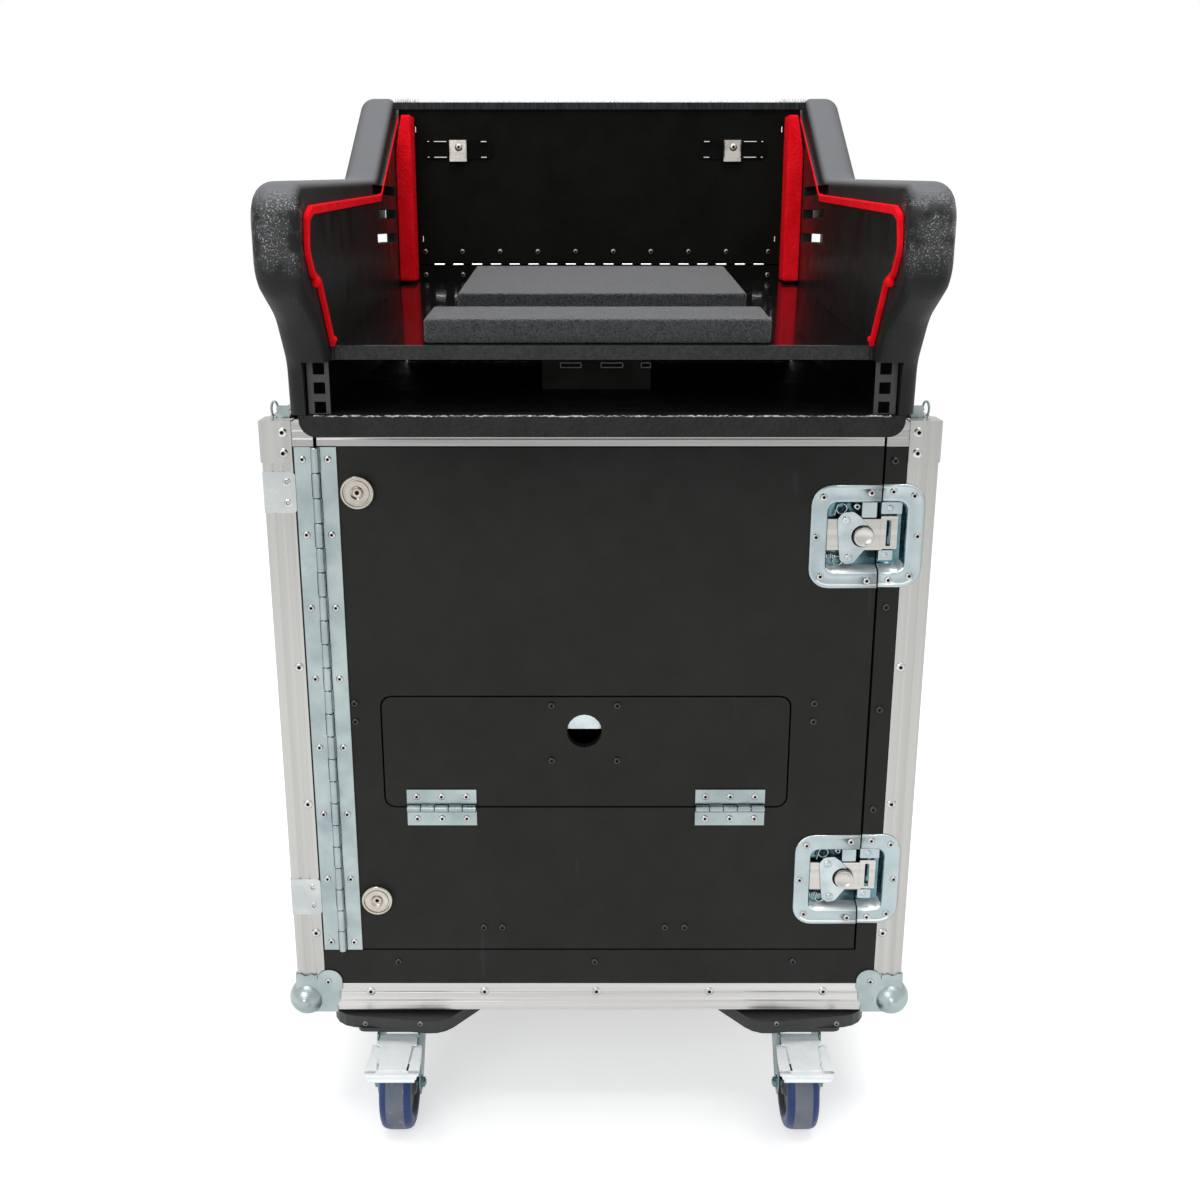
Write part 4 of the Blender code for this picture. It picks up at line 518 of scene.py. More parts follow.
TRACK_DARK = surface("track_dark", (0.0012, 0.0013, 0.001), (0.0022, 0.0024, 0.002), (0.6, 0.75), 60.0,
                     specular=0.05, bumps=(bump(700, 0.0001),))
PALE_RIM = surface("pale_rim", (0.86, 0.87, 0.86), (0.76, 0.77, 0.76), (0.3, 0.45), 90.0,
                   bumps=(bump(600, 0.00005),))
LINING = surface("lining_panel", (0.0055, 0.0058, 0.005), (0.0085, 0.0088, 0.008), (0.3, 0.42), 14.0,
                 specular=0.3, bumps=(bump(500, 0.00006),))
# Painted highlight: pale rough spots for the light caught along the housing floor's front edge.
PAINTED_EDGE_HIGHLIGHT = surface("painted_edge_highlight", (0.1, 0.1, 0.1), (0.62, 0.63, 0.64), (0.22, 0.5), 260.0,
                    bumps=(bump(900, 0.0006),))
MIRROR_NICKEL = plated("polished_nickel", (0.93, 0.93, 0.92), (0.84, 0.84, 0.83), (0.05, 0.12), 60.0, 600,
                       0.00001)
TAB_STEEL = plated("tab_steel", (0.5, 0.49, 0.45), (0.34, 0.31, 0.28), (0.16, 0.28), 60.0, 500, 0.00003)
BAY_DARK = surface("bay_box_finish", (0.0075, 0.0075, 0.0055), (0.011, 0.011, 0.008), (0.55, 0.7), 40.0,
                   specular=0.3, bumps=(bump(800, 0.0001),))
HUB = surface("hub_moulding", (0.03, 0.03, 0.032), (0.045, 0.045, 0.048), (0.4, 0.55), 40.0,
              bumps=(bump(400, 0.0001),))


def between(tree, value, low, high):
    """A mask that runs from 0 to 1 as a value goes from low to high."""
    return add(tree, "ShaderNodeMapRange", {"Value": value, "From Min": low, "From Max": high}).outputs[0]


def product(tree, first, second):
    return add(tree, "ShaderNodeMath", {0: first, 1: second}, operation="MULTIPLY").outputs[0]


def coating():
    """The arms' skin: drops of gloss on the noses with painted glints on them, smooth elsewhere, and painted
    light grey where it faces up.
    """
    material = bpy.data.materials.new("moulded_coating")
    tree = empty_tree(material)
    output = tree.nodes.new("ShaderNodeOutputMaterial")
    coordinates = tree.nodes.new("ShaderNodeTexCoord")
    place = coordinates.outputs["Object"]
    parts = add(tree, "ShaderNodeSeparateXYZ", {"Vector": place})
    facing = add(tree, "ShaderNodeSeparateXYZ", {"Vector": coordinates.outputs["Normal"]})
    upward = between(tree, facing.outputs["Z"], 0.22, 0.8)
    nose = product(tree, between(tree, parts.outputs["Y"], -0.428, -0.446),
                   product(tree, between(tree, parts.outputs["Z"], 0.942, 0.966),
                           between(tree, parts.outputs["Z"], 1.008, 0.994)))
    patches = grain(tree, place, 60.0, EVEN, 2.0, 0.38, 0.58)
    wet = product(tree, nose, patches)
    tone = grain(tree, place, 18.0)
    dark = blend(tree, tone, (0.0085, 0.009, 0.0086, 1.0), (0.013, 0.0136, 0.013))
    # Painted light: faces that point up are blended to a pale grey, as if lit from above.
    painted_top_light = blend(tree, upward, dark, (0.104, 0.106, 0.112))
    # Painted highlights: small pale dots on the wet nose patches stand in for glints on the drops.
    painted_glints = product(tree, grain(tree, place, 760.0, EVEN, 1.0, 0.6, 0.66), wet)
    shown = blend(tree, painted_glints, painted_top_light, (0.3, 0.31, 0.35))
    rough = add(tree, "ShaderNodeMapRange", {"Value": wet, "To Min": 0.55, "To Max": 0.24})
    gloss = add(tree, "ShaderNodeMapRange", {"Value": wet, "To Min": 0.16, "To Max": 0.55})
    shader = add(tree, "ShaderNodeBsdfPrincipled", {"Base Color": shown,
                                                    "Roughness": rough.outputs[0],
                                                    "Specular IOR Level": gloss.outputs[0]})
    strength = add(tree, "ShaderNodeMapRange", {"Value": wet, "To Min": 0.1, "To Max": 1.0})
    drops = grain(tree, place, 430.0, EVEN, 2.0, 0.35, 0.7)
    first = add(tree, "ShaderNodeBump",
                {"Height": drops, "Strength": strength.outputs[0], "Distance": 0.0016})
    fine = grain(tree, place, 800.0, EVEN, 2.0, 0.3, 0.7)
    second = add(tree, "ShaderNodeBump", {"Height": fine, "Strength": 0.8, "Distance": 0.00022,
                                          "Normal": first.outputs[0]})
    tree.links.new(second.outputs[0], shader.inputs["Normal"])
    tree.links.new(shader.outputs[0], output.inputs["Surface"])
    return material


COATING = coating()


def dress(nodes, look, bevel=0.0):
    """Gives CAD nodes their finish and, where asked, softly broken edges."""
    for name in nodes:
        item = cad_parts[name]
        item.data.materials.clear()
        item.data.materials.append(look)
        if bevel:
            weld = item.modifiers.new("weld", "WELD")
            weld.merge_threshold = 0.00001
            soften(item, bevel)


dress(("side_panel_left", "side_panel_right", "rear_panel", "bottom_panel"), LAMINATE, 0.0004)
dress(("front_frame", "door_panel", "flap_panel"), LAMINATE, 0.0007)
dress(("rear_sill", "rear_flap"), DARK_WALL, 0.0006)
dress(("post_front_left", "post_front_right"), ALUMINIUM_UPRIGHT, 0.0005)
# The level rails take the painted light copy of the aluminium.
dress(("bottom_edge_frame", "rear_edge_frame"), ALUMINIUM_LEVEL_LIT, 0.0005)
# The top rim takes the painted shade copy of the aluminium.
dress(("top_rim", "door_top_edge"), ALUMINIUM_TOP_SHADED, 0.0005)
dress(("top_deck", "rack_frame"), BARE_BOARD, 0.0006)
dress(("castor_board",), CASTOR_BOARD, 0.002)
dress(("tray_shelf",), GLOSS, 0.0008)
dress(("slide_frame", "rack_strip_left", "rack_strip_right"), RACK_STEEL, 0.0004)
dress(("slam_latch",), BRIGHT_ZINC, 0.0003)


# Rivets, screws and plates on the base
RIVET_HEAD = turned([(0, 0), (RIVET_RADIUS, 0), (RIVET_RADIUS, 0.0004), (0.0041, 0.0011), (0.0029, 0.0016),
                     (0.0019, 0.0016), (0.0014, 0.0011), (0.0013, 0.0003), (0, 0.0003)], 20, dark_from=5)
SMALL_RIVET = turned([(0, 0), (0.0037, 0), (0.0037, 0.0003), (0.0033, 0.001), (0.0024, 0.0014),
                      (0.0016, 0.0014), (0.0012, 0.0009), (0.0011, 0.0003), (0, 0.0003)], 18, dark_from=5)
BUTTON_SCREW = turned([(0, 0), (0.0042, 0), (0.0041, 0.0008), (0.0034, 0.0018), (0.0022, 0.0024),
                       (0.0016, 0.0024), (0.0014, 0.001), (0, 0.0009)], 18, dark_from=5)


def fasteners(name, shape, places, body, axis="-Y", look=RIVET):
    """One piece of many equal small heads."""
    piece(name, stamped(shape, places, axis), body, (look, HOLE_DARK))


PLATE = 0.0012
POST_RIVET_X = 0.307
POST_RIVET_Z = (0.546, 0.394, 0.242)
BRACE_RIVET_X = 0.309
BRACE_RIVET_Z = (0.7868, 0.7665)
BOTTOM_RIVET_X = (-0.251, -0.126, -0.003, 0.121, 0.246)
BOTTOM_RIVET_Z = 0.17
SIDE_INSET = CASE_SIDE - POST_RIVET_X
SIDE_RIVET_Y = (0.1, 0.22, 0.34, 0.46, 0.56)


def make_case_rivets():
    """Rivets on the posts and angles of all four faces."""
    front = [(side * POST_RIVET_X, FRONT, z) for side in (-1, 1) for z in POST_RIVET_Z]
    front += [(x, FRONT, BOTTOM_RIVET_Z) for x in BOTTOM_RIVET_X]
    back = [(side * POST_RIVET_X, CASE_BACK, z) for side in (-1, 1) for z in POST_RIVET_Z]
    back += [(x, CASE_BACK, BOTTOM_RIVET_Z) for x in BOTTOM_RIVET_X]
    meshes = [stamped(RIVET_HEAD, front, "-Y"), stamped(RIVET_HEAD, back, "Y")]
    for side, axis in ((-1, "-X"), (1, "X")):
        x = side * CASE_SIDE
        places = [(x, y, z) for y in (FRONT + SIDE_INSET, CASE_BACK - SIDE_INSET) for z in POST_RIVET_Z]
        places += [(x, FRONT + y, BOTTOM_RIVET_Z) for y in SIDE_RIVET_Y]
        places += [(x, FRONT + y, CASE_TOP - 0.012) for y in SIDE_RIVET_Y]
        meshes.append(stamped(RIVET_HEAD, places, axis))
    piece("rivets_case", joined(meshes), "cabinet", (RIVET, HOLE_DARK))


BRACE_WIDTH = 0.03
BRACE_HEIGHT = 0.04
BRACE_TOP_DEPTH = 0.0175


def make_braces():
    """Angle plates over the rim's four corners, each with its rivets."""
    for tag, side_x, side_y in CORNERS:
        face_y = FRONT if side_y < 0 else CASE_BACK
        out_y = face_y + side_y * PLATE
        x_ends = sorted((side_x * (CASE_SIDE - BRACE_WIDTH), side_x * (CASE_SIDE + PLATE)))
        y_ends = sorted((face_y - side_y * BRACE_WIDTH, out_y))
        low = CASE_TOP - BRACE_HEIGHT
        high = CASE_TOP + PLATE
        face = slab("XZ", face_y, out_y, rectangle(*x_ends, low, high, 0.002))
        side = slab("YZ", side_x * CASE_SIDE, side_x * (CASE_SIDE + PLATE),
                    rectangle(*y_ends, low, high, 0.002))
        inner = side_x * (CASE_SIDE - BRACE_TOP_DEPTH)
        edge = side_y * BRACE_TOP_DEPTH
        outline = [(x_ends[0], y_ends[0]), (x_ends[1], y_ends[0]), (x_ends[1], y_ends[1]),
                   (x_ends[0], y_ends[1])]
        top = slab("XY", CASE_TOP, high, outline)
        beyond = (side_x * (CASE_SIDE - 2 * BRACE_WIDTH), face_y - side_y * 2 * BRACE_WIDTH, high + OVERCUT)
        top = cut(top, block((inner, face_y - edge, CASE_TOP - OVERCUT), beyond))
        mesh = unite(face, side, top)
        piece("brace_" + tag, mesh, "cabinet", ALUMINIUM_UPRIGHT, bevel=0.0004)
        axis = "-Y" if side_y < 0 else "Y"
        rivets = [stamped(RIVET_HEAD, [(side_x * BRACE_RIVET_X, out_y, z) for z in BRACE_RIVET_Z], axis)]
        side_axis = "X" if side_x > 0 else "-X"
        y = face_y - side_y * (CASE_SIDE - BRACE_RIVET_X)
        places = [(side_x * (CASE_SIDE + PLATE), y, z) for z in BRACE_RIVET_Z]
        rivets.append(stamped(RIVET_HEAD, places, side_axis))
        piece("brace_rivets_" + tag, joined(rivets), "cabinet", (RIVET, HOLE_DARK))


FRAME_SCREWS = ((0.288, 0.759), (0.288, 0.61), (0.288, 0.5), (0.288, 0.388), (-0.219, 0.207),
                (-0.005, 0.207), (0.211, 0.207))
DOOR_SCREWS = ((-0.2525, 0.507), (-0.2525, 0.487), (0.2205, 0.507), (0.2205, 0.487), (-0.125, 0.249),
               (-0.105, 0.249), (0.071, 0.249), (0.092, 0.249))
FLAP_BOLT_CENTRE = (-0.016, 0.474)
FLAP_BOLT_HALF = (0.034, 0.0305)


def make_screws():
    """Black screws in the frame, the door and the flap."""
    x, z = FLAP_BOLT_CENTRE
    bolts = [(x + u * FLAP_BOLT_HALF[0], z + v * FLAP_BOLT_HALF[1]) for u in (-1, 1) for v in (-1, 1)]
    for name, body, dots in (("screws_frame", "cabinet", FRAME_SCREWS), ("screws_door", "door", DOOR_SCREWS),
                             ("bolts_flap", "flap", bolts)):
        places = [(x, DOOR_FACE, z) for x, z in dots]
        fasteners(name, BUTTON_SCREW, places, body, look=BLACK_SCREW)


# Ball corners
BALL_RADIUS = 0.02
BALL_INSET = 0.0085
BALL_HEIGHT = 0.013
NUB_RADIUS = 0.0085
NUB_REACH = 0.0132
CORNER_PROUD = 0.0018
CORNER_WALL = 0.0015
LOBE_UP = 0.036
LOBE_IN = 0.0355
LEG_OUTLINE = ((0.0004, 0.0004, 0.001), (0.045, 0.0004, 0.0015), (0.0436, 0.0085, 0.002),
               (0.0478, 0.015, 0.002), (0.0478, 0.025, 0.002), (0.0506, 0.028, 0.002),
               (0.0506, 0.052, 0.0135), (0.0232, 0.052, 0.0135), (0.0232, 0.044, 0.002),
               (0.017, 0.047, 0.003), (0.011, 0.044, 0.003), (0.005, 0.0475, 0.002),
               (0.0004, 0.0465, 0.001))


def sphere(centre, radius, segments):
    bm = bmesh.new()
    bmesh.ops.create_uvsphere(bm, u_segments=segments, v_segments=segments // 2, radius=radius)
    bm.transform(Matrix.Translation(centre))
    return mesh_from(bm)


def make_ball_corners():
    """Pressed ball corners: lobed legs on the three faces and a smooth ball with a central boss."""
    x_out = CASE_SIDE + CORNER_PROUD
    z_out = CASE_BOTTOM - CORNER_PROUD
    for tag, side_x, side_y in CORNERS:
        face_y = FRONT if side_y < 0 else CASE_BACK
        y_out = face_y + side_y * CORNER_PROUD
        x_wall = (side_x * x_out, side_x * (x_out - CORNER_WALL))
        y_wall = (y_out, y_out - side_y * CORNER_WALL)
        face = slab("XZ", *y_wall,
                    arc_outline([(side_x * (x_out - u), z_out + v, r) for u, v, r in LEG_OUTLINE]))
        side = slab("YZ", *x_wall,
                    arc_outline([(y_out - side_y * u, z_out + v, r) for u, v, r in LEG_OUTLINE]))
        foot = slab("XY", z_out, z_out + CORNER_WALL,
                    arc_outline([(side_x * (x_out - u), y_out - side_y * v, r) for u, v, r in LEG_OUTLINE]))
        centre = Vector((side_x * (CASE_SIDE - BALL_INSET), face_y - side_y * BALL_INSET,
                         CASE_BOTTOM + BALL_HEIGHT))
        ball = sphere(centre, BALL_RADIUS, 48)
        nub = sphere(centre + Vector((0, side_y * NUB_REACH, 0.001)), NUB_RADIUS, 24)
        mesh = unite(ball, nub, face, side, foot, solver="MANIFOLD")
        reach = 3 * BRACE_WIDTH
        case = block((side_x * (CASE_SIDE + FIT), face_y + side_y * FIT, CASE_BOTTOM - FIT),
                     (side_x * (CASE_SIDE - reach), face_y - side_y * reach, CASE_BOTTOM + reach))
        mesh = cut(mesh, case, solver="MANIFOLD")
        piece("ball_corner_pressed_" + tag, mesh, "cabinet", ZINC, angle=42,
              replaces=("ball_corner_" + tag,))
        lobe = CASE_BOTTOM + LOBE_UP
        axis = "-Y" if side_y < 0 else "Y"
        rivets = [stamped(SMALL_RIVET, [(side_x * (x_out - LOBE_IN), y_out, lobe)], axis)]
        side_axis = "X" if side_x > 0 else "-X"
        rivets.append(stamped(SMALL_RIVET, [(side_x * x_out, y_out - side_y * LOBE_IN, lobe)], side_axis))
        piece("ball_corner_rivets_" + tag, joined(rivets), "cabinet", (RIVET, HOLE_DARK))


# Hinges
KNUCKLE = 0.004
LEAF = 0.0015
AXIS_Y = FRONT - FIT - KNUCKLE
RUN = 0.0005
DOOR_AXIS_X = -0.278
DOOR_LEAF_REACH = 0.0205
DOOR_KNUCKLES = 22
PIN_RADIUS = 0.0017
DOOR_RIVETS = 8
DOOR_RIVET_TOP = 0.7606
DOOR_RIVET_PITCH = 0.0755
DOOR_RIVET_X = (-0.2908, -0.266)
FLAP_KNUCKLES = 5
FLAP_RIVET_SPREAD = 0.026
FLAP_RIVET_RISE = 0.0125


def knuckle_spans(start, length, count, first):
    """The ends of every second knuckle from the first one on, less half a gap at each side."""
    pitch = length / count
    return [(start + k * pitch + RUN / 2, start + (k + 1) * pitch - RUN / 2) for k in range(first, count, 2)]


def make_door_hinge():
    """The piano hinge: two leaves with rolled knuckles, a pin and a row of rivets on each leaf."""
    low = HINGE_LOW.z
    high = HINGE_HIGH.z
    front = FRONT - FIT - LEAF
    back = FRONT - FIT
    leaves = (("fixed", "cabinet", 0, -1), ("moving", "door", 1, 1))
    for name, body, first, side in leaves:
        meshes = [block((DOOR_AXIS_X + side * (KNUCKLE + RUN), front, low),
                        (DOOR_AXIS_X + side * DOOR_LEAF_REACH, back, high))]
        for a, b in knuckle_spans(low, high - low, DOOR_KNUCKLES, first):
            meshes.append(rod((DOOR_AXIS_X, AXIS_Y, (a + b) / 2), "Z", KNUCKLE, b - a, 20))
            meshes.append(block((DOOR_AXIS_X, front, a),
                                (DOOR_AXIS_X + side * (KNUCKLE + 2 * RUN), back - FIT, b)))
        if first == 0:
            meshes.append(rod((DOOR_AXIS_X, AXIS_Y, (low + high) / 2), "Z", PIN_RADIUS, high - low - RUN, 12))
        piece("door_hinge_%s_rolled" % name, joined(meshes), body, ZINC, 35,
              replaces=("door_hinge_%s_leaf" % name,))
        x = DOOR_RIVET_X[first]
        places = [(x, front, DOOR_RIVET_TOP - k * DOOR_RIVET_PITCH) for k in range(DOOR_RIVETS)]
        fasteners("door_hinge_%s_rivets" % name, SMALL_RIVET, places, body)


def make_flap_hinges():
    """Two butt hinges under the flap, with rolled knuckles and three rivets in each leaf."""
    front = FRONT - FIT - LEAF
    back = FRONT - FIT
    for tag in ("left", "right"):
        low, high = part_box("flap_hinge_door_leaf_" + tag)
        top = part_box("flap_hinge_flap_leaf_" + tag)[1].z
        axis_z = (low.z + top) / 2
        middle = (low.x + high.x) / 2
        for name, body, first, up in (("door", "door", 0, -1), ("flap", "flap", 1, 1)):
            meshes = [block((low.x, front, axis_z + up * (KNUCKLE + RUN)),
                            (high.x, back, low.z if up < 0 else top))]
            for a, b in knuckle_spans(low.x, high.x - low.x, FLAP_KNUCKLES, first):
                meshes.append(rod(((a + b) / 2, AXIS_Y, axis_z), "X", KNUCKLE, b - a, 20))
                meshes.append(block((a, front, axis_z), (b, back - FIT, axis_z + up * (KNUCKLE + 2 * RUN))))
            if first == 0:
                meshes.append(rod((middle, AXIS_Y, axis_z), "X", PIN_RADIUS, high.x - low.x - RUN, 12))
            piece("flap_hinge_%s_%s_rolled" % (name, tag), joined(meshes), body, ZINC, 35,
                  replaces=("flap_hinge_%s_leaf_%s" % (name, tag),))
            places = [(middle + k * FLAP_RIVET_SPREAD, front, axis_z + up * FLAP_RIVET_RISE)
                      for k in (-1, 0, 1)]
            fasteners("flap_hinge_%s_%s_rivets" % (name, tag), SMALL_RIVET, places, body)


# Recessed butterfly latches
LATCH_X = 0.264
LATCH_HALF = (0.056, 0.0525)
LATCH_CORNER = 0.02
POCKET_HALF = (0.04, 0.037)
POCKET_CORNER = 0.01
POCKET_DROP = 0.001
WING_X = 0.262
SHEET = 0.0009
SPRING_WIRE = 0.0007
KEEPER_RISE = 0.001
LATCH_BOXES = (("upper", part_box("latch_dish_upper")), ("lower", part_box("latch_dish_lower")))
DISH_RIVETS = ((-0.044, 0.0404), (-0.044, -0.0404), (0.0028, 0.0448), (0.0028, -0.0448), (-0.05, 0.0))
KEEPER_RIVETS = ((0.0242, 0.045), (0.0242, -0.045), (0.045, 0.0408), (0.045, -0.0408), (0.0505, 0.0))
EARS = ((-0.0259, 0.0089, 0.006), (-0.0264, 0.0175, 0.004), (-0.0213, 0.0239, 0.004), (-0.011, 0.0249, 0.005),
        (-0.003, 0.0192, 0.004), (0.006, 0.006, 0.004), (0.006, -0.008, 0.004), (-0.0027, -0.0192, 0.005),
        (-0.0082, -0.0268, 0.004), (-0.0157, -0.0286, 0.004), (-0.0222, -0.0249, 0.004),
        (-0.0236, -0.0155, 0.008))


def latch_pan(middle):
    """The whole pressed pan: raised lip, flat flange, rolled rim and a pocket with a wide lower wall."""
    levels = ((0.0, -0.0001, 0, 0), (0.0, -0.0012, 0, 0), (0.0008, -0.0019, 0, 0), (0.003, -0.0019, 0, 0),
              (0.0045, -0.0011, 0, 0), (-0.003, -0.0011, 1, 0), (-0.0012, -0.0014, 1, 0),
              (0.0002, -0.0009, 1, 0.1), (0.001, 0.0004, 1, 0.35), (0.0018, 0.003, 1, 0.7),
              (0.0026, 0.009, 1, 1), (0.0036, 0.0118, 1, 1), (0.006, 0.0124, 1, 1))
    rings = []
    for inset, depth, kind, slope in levels:
        half = (LATCH_HALF, POCKET_HALF)[kind]
        corner = max((LATCH_CORNER, POCKET_CORNER)[kind] - inset, 0.003)
        drop = POCKET_DROP * kind
        points = ring(LATCH_X - half[0] + inset, LATCH_X + half[0] - inset,
                      middle - half[1] - drop + inset + 0.0035 * slope, middle + half[1] - drop - inset,
                      corner)
        rings.append([(x, FRONT + depth, z) for x, z in points])
    mesh = loft(rings)
    for polygon in mesh.polygons:
        # Faces inside the pocket get the painted shade zinc.
        inside = polygon.center.y > FRONT - 0.0004
        # Faces that tilt up and forward get the painted highlight zinc.
        lit = polygon.normal.z * math.copysign(1.0, -polygon.normal.y) > 0.3
        polygon.material_index = 1 if lit else (2 if inside else 0)
    return mesh


def clipped(mesh, x, side):
    """The part of a mesh on one side of a plane across X."""
    bm = bmesh.new()
    bm.from_mesh(mesh)
    geometry = bm.verts[:] + bm.edges[:] + bm.faces[:]
    bmesh.ops.bisect_plane(bm, geom=geometry, plane_co=(x, 0, 0), plane_no=(-side, 0, 0), clear_outer=True)
    return to_mesh(bm, "clipped")


KNOB_RIVET = turned([(0, 0), (0.0034, 0), (0.0032, 0.0008), (0.0024, 0.0015), (0.001, 0.0018), (0, 0.0018)],
                    18)


def make_latch(tag, middle):
    """Dish and keeper from one pressed pan, with the wing, its springs, brackets and rivets."""
    gap = (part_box("latch_keeper_" + tag)[0].x - SPLIT) / 2
    for name, side, body, dots in (("dish", -1, "door", DISH_RIVETS),
                                   ("keeper", 1, "cabinet", KEEPER_RIVETS)):
        rise = KEEPER_RISE if side > 0 else 0.0
        half = clipped(latch_pan(middle + rise), SPLIT + gap + side * gap, side)
        item = piece("latch_%s_pressed_%s" % (name, tag), half, body, (LATCH_ZINC, ZINC_PAINTED_HIGHLIGHT, ZINC_PAINTED_RECESS_SHADE),
                     50, replaces=("latch_%s_%s" % (name, tag),))
        thicken(item, SHEET)
        places = [(LATCH_X + u, FRONT - 0.0011, middle + v + rise) for u, v in dots]
        fasteners("latch_%s_rivets_%s" % (name, tag), SMALL_RIVET, places, body)
    make_latch_inside(tag, middle)
    make_wing(tag, middle)


def box_plate(x_low, x_high, z_low, z_high, front, back, corner=0.0012):
    """A folded plate with rounded corners that stands on the pocket's floor."""
    return slab("XZ", FRONT + front, FRONT + back, rectangle(x_low, x_high, z_low, z_high, corner))


def curled(x, y, z, radius):
    """A flat spring of three turns round a point, drawn slightly along Y."""
    return tube([(x + radius * math.cos(0.157 * 3 * k), y + 0.00007 * k, z + radius * math.sin(0.157 * 3 * k))
                 for k in range(40)], SPRING_WIRE, 8)


def make_latch_inside(tag, middle):
    """Springs, bracket, base plates and rests in the pocket."""
    floor = 0.0122
    spring_y = FRONT + 0.0085
    leg = [(0.233, spring_y, middle + 0.02), (0.2352, spring_y, middle + 0.0285)]
    springs = [curled(0.24, spring_y, middle + 0.0268, 0.0052), tube(leg, SPRING_WIRE, 8),
               curled(0.2385, spring_y, middle - 0.0262, 0.0048),
               coil((0.2242, spring_y, middle - 0.0212), (0.236, spring_y, middle - 0.0212), 0.0029, 6,
                    SPRING_WIRE)]
    piece("latch_springs_" + tag, joined(springs), "door", BRIGHT_ZINC, 50)
    bracket = [box_plate(0.2598, 0.2744, middle + 0.0186, middle + 0.0348, 0.0056, floor),
               rod((WING_X, FRONT + 0.0085, middle), "Y", 0.0034, 0.0072)]
    piece("latch_bracket_" + tag, joined(bracket), "door", LATCH_ZINC, 35, bevel=0.0005)
    stud = (0.2556, FRONT + 0.0105, middle + 0.0286)
    fasteners("latch_bracket_rivet_" + tag, SMALL_RIVET, [stud], "door", look=BRIGHT_ZINC)
    rests = [box_plate(0.279, 0.2995, middle + 0.0222, middle + 0.034, 0.006, floor),
             box_plate(0.2784, 0.2926, middle - 0.0252, middle - 0.015, 0.006, floor)]
    piece("latch_rests_" + tag, joined(rests), "cabinet", LATCH_ZINC, 35, bevel=0.0006)
    studs = [(0.2877, FRONT + 0.007, middle + 0.0283), (0.2846, FRONT + 0.007, middle - 0.0196)]
    fasteners("latch_rest_rivets_" + tag, KNOB_RIVET, studs, "cabinet", look=BRIGHT_ZINC)
    low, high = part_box("latch_slider_" + tag)
    front = low.y
    base = slab("XZ", front - 0.0004, high.y,
                rectangle(0.225, 0.2818, middle - 0.0146, middle + 0.017, 0.0012))
    mouth = rectangle(0.2848, 0.2894, middle - 0.0106, middle + 0.016, 0.0008)
    mouth.reverse()
    tongue = slab("XZ", front - 0.0008, front + 0.0006,
                  rectangle(0.279, 0.296, middle - 0.0134, middle + 0.02, 0.0012), mouth)
    piece("latch_slider_base_" + tag, joined([base, tongue]), "latch_slider_" + tag, BRUSHED,
          35, bevel=0.0004, replaces=("latch_slider_" + tag,))


def make_wing(tag, middle):
    """The two-eared wing with its knobs and the brushed boss."""
    wing_back = FRONT + 0.0048
    outline = arc_outline([(WING_X + u, middle + v, r) for u, v, r in EARS])
    knob = turned([(0, 0), (0.0042, 0), (0.0042, 0.0005), (0.0034, 0.0013), (0.002, 0.0016), (0.0011, 0.0012),
                   (0, 0.001)], 20)
    plate = [slab("XZ", wing_back - 0.0015, wing_back, outline),
             stamped(knob, [(WING_X - 0.0178, wing_back - 0.0014, middle + 0.0165),
                            (WING_X - 0.014, wing_back - 0.0014, middle - 0.0222)], "-Y")]
    piece("latch_wing_pressed_" + tag, joined(plate), "latch_wing_" + tag, BRIGHT_ZINC, 40,
          bevel=0.0003, replaces=("latch_wing_" + tag,))
    # Painted shadow: a thin dark disc, set off-centre under the boss, shows as a dark crescent in the gap
    # round it.
    gap = turned([(0, 0), (0.0113, 0), (0.0113, 0.00012), (0, 0.00012)], 36)
    piece("latch_boss_gap_" + tag, stamped(gap, [(WING_X - 0.0008, wing_back - 0.0015, middle)], "-Y"),
          "latch_wing_" + tag, HOLE_DARK)
    boss = turned([(0, 0), (0.0102, 0), (0.0102, 0.0032), (0.0096, 0.0042), (0.0084, 0.0043),
                   (0.0068, 0.0032), (0.004, 0.0024), (0, 0.0021)], 48)
    piece("latch_boss_" + tag, stamped(boss, [(WING_X, wing_back - 0.0014, middle)], "-Y"),
          "latch_wing_" + tag, BRUSHED, 35)


# Magnets, strike plates and lid hooks
MAGNET = turned([(0, 0), (0.0165, 0), (0.0165, 0.0052), (0.0159, 0.006), (0.0142, 0.006), (0.0136, 0.0046),
                 (0.0124, 0.0046), (0.0119, 0.0058), (0.0068, 0.0058), (0.006, 0.0046), (0.0046, 0.004),
                 (0.0042, 0.005), (0.0022, 0.0052), (0.0016, 0.0036), (0, 0.0034)], 40, dark_from=13)
MAGNET_X = -0.2385
MAGNET_Z = (0.728, 0.2834)
STRIKE_Z = ((0.707, 0.748), (0.265, 0.307))
STRIKE_INNER = 0.299


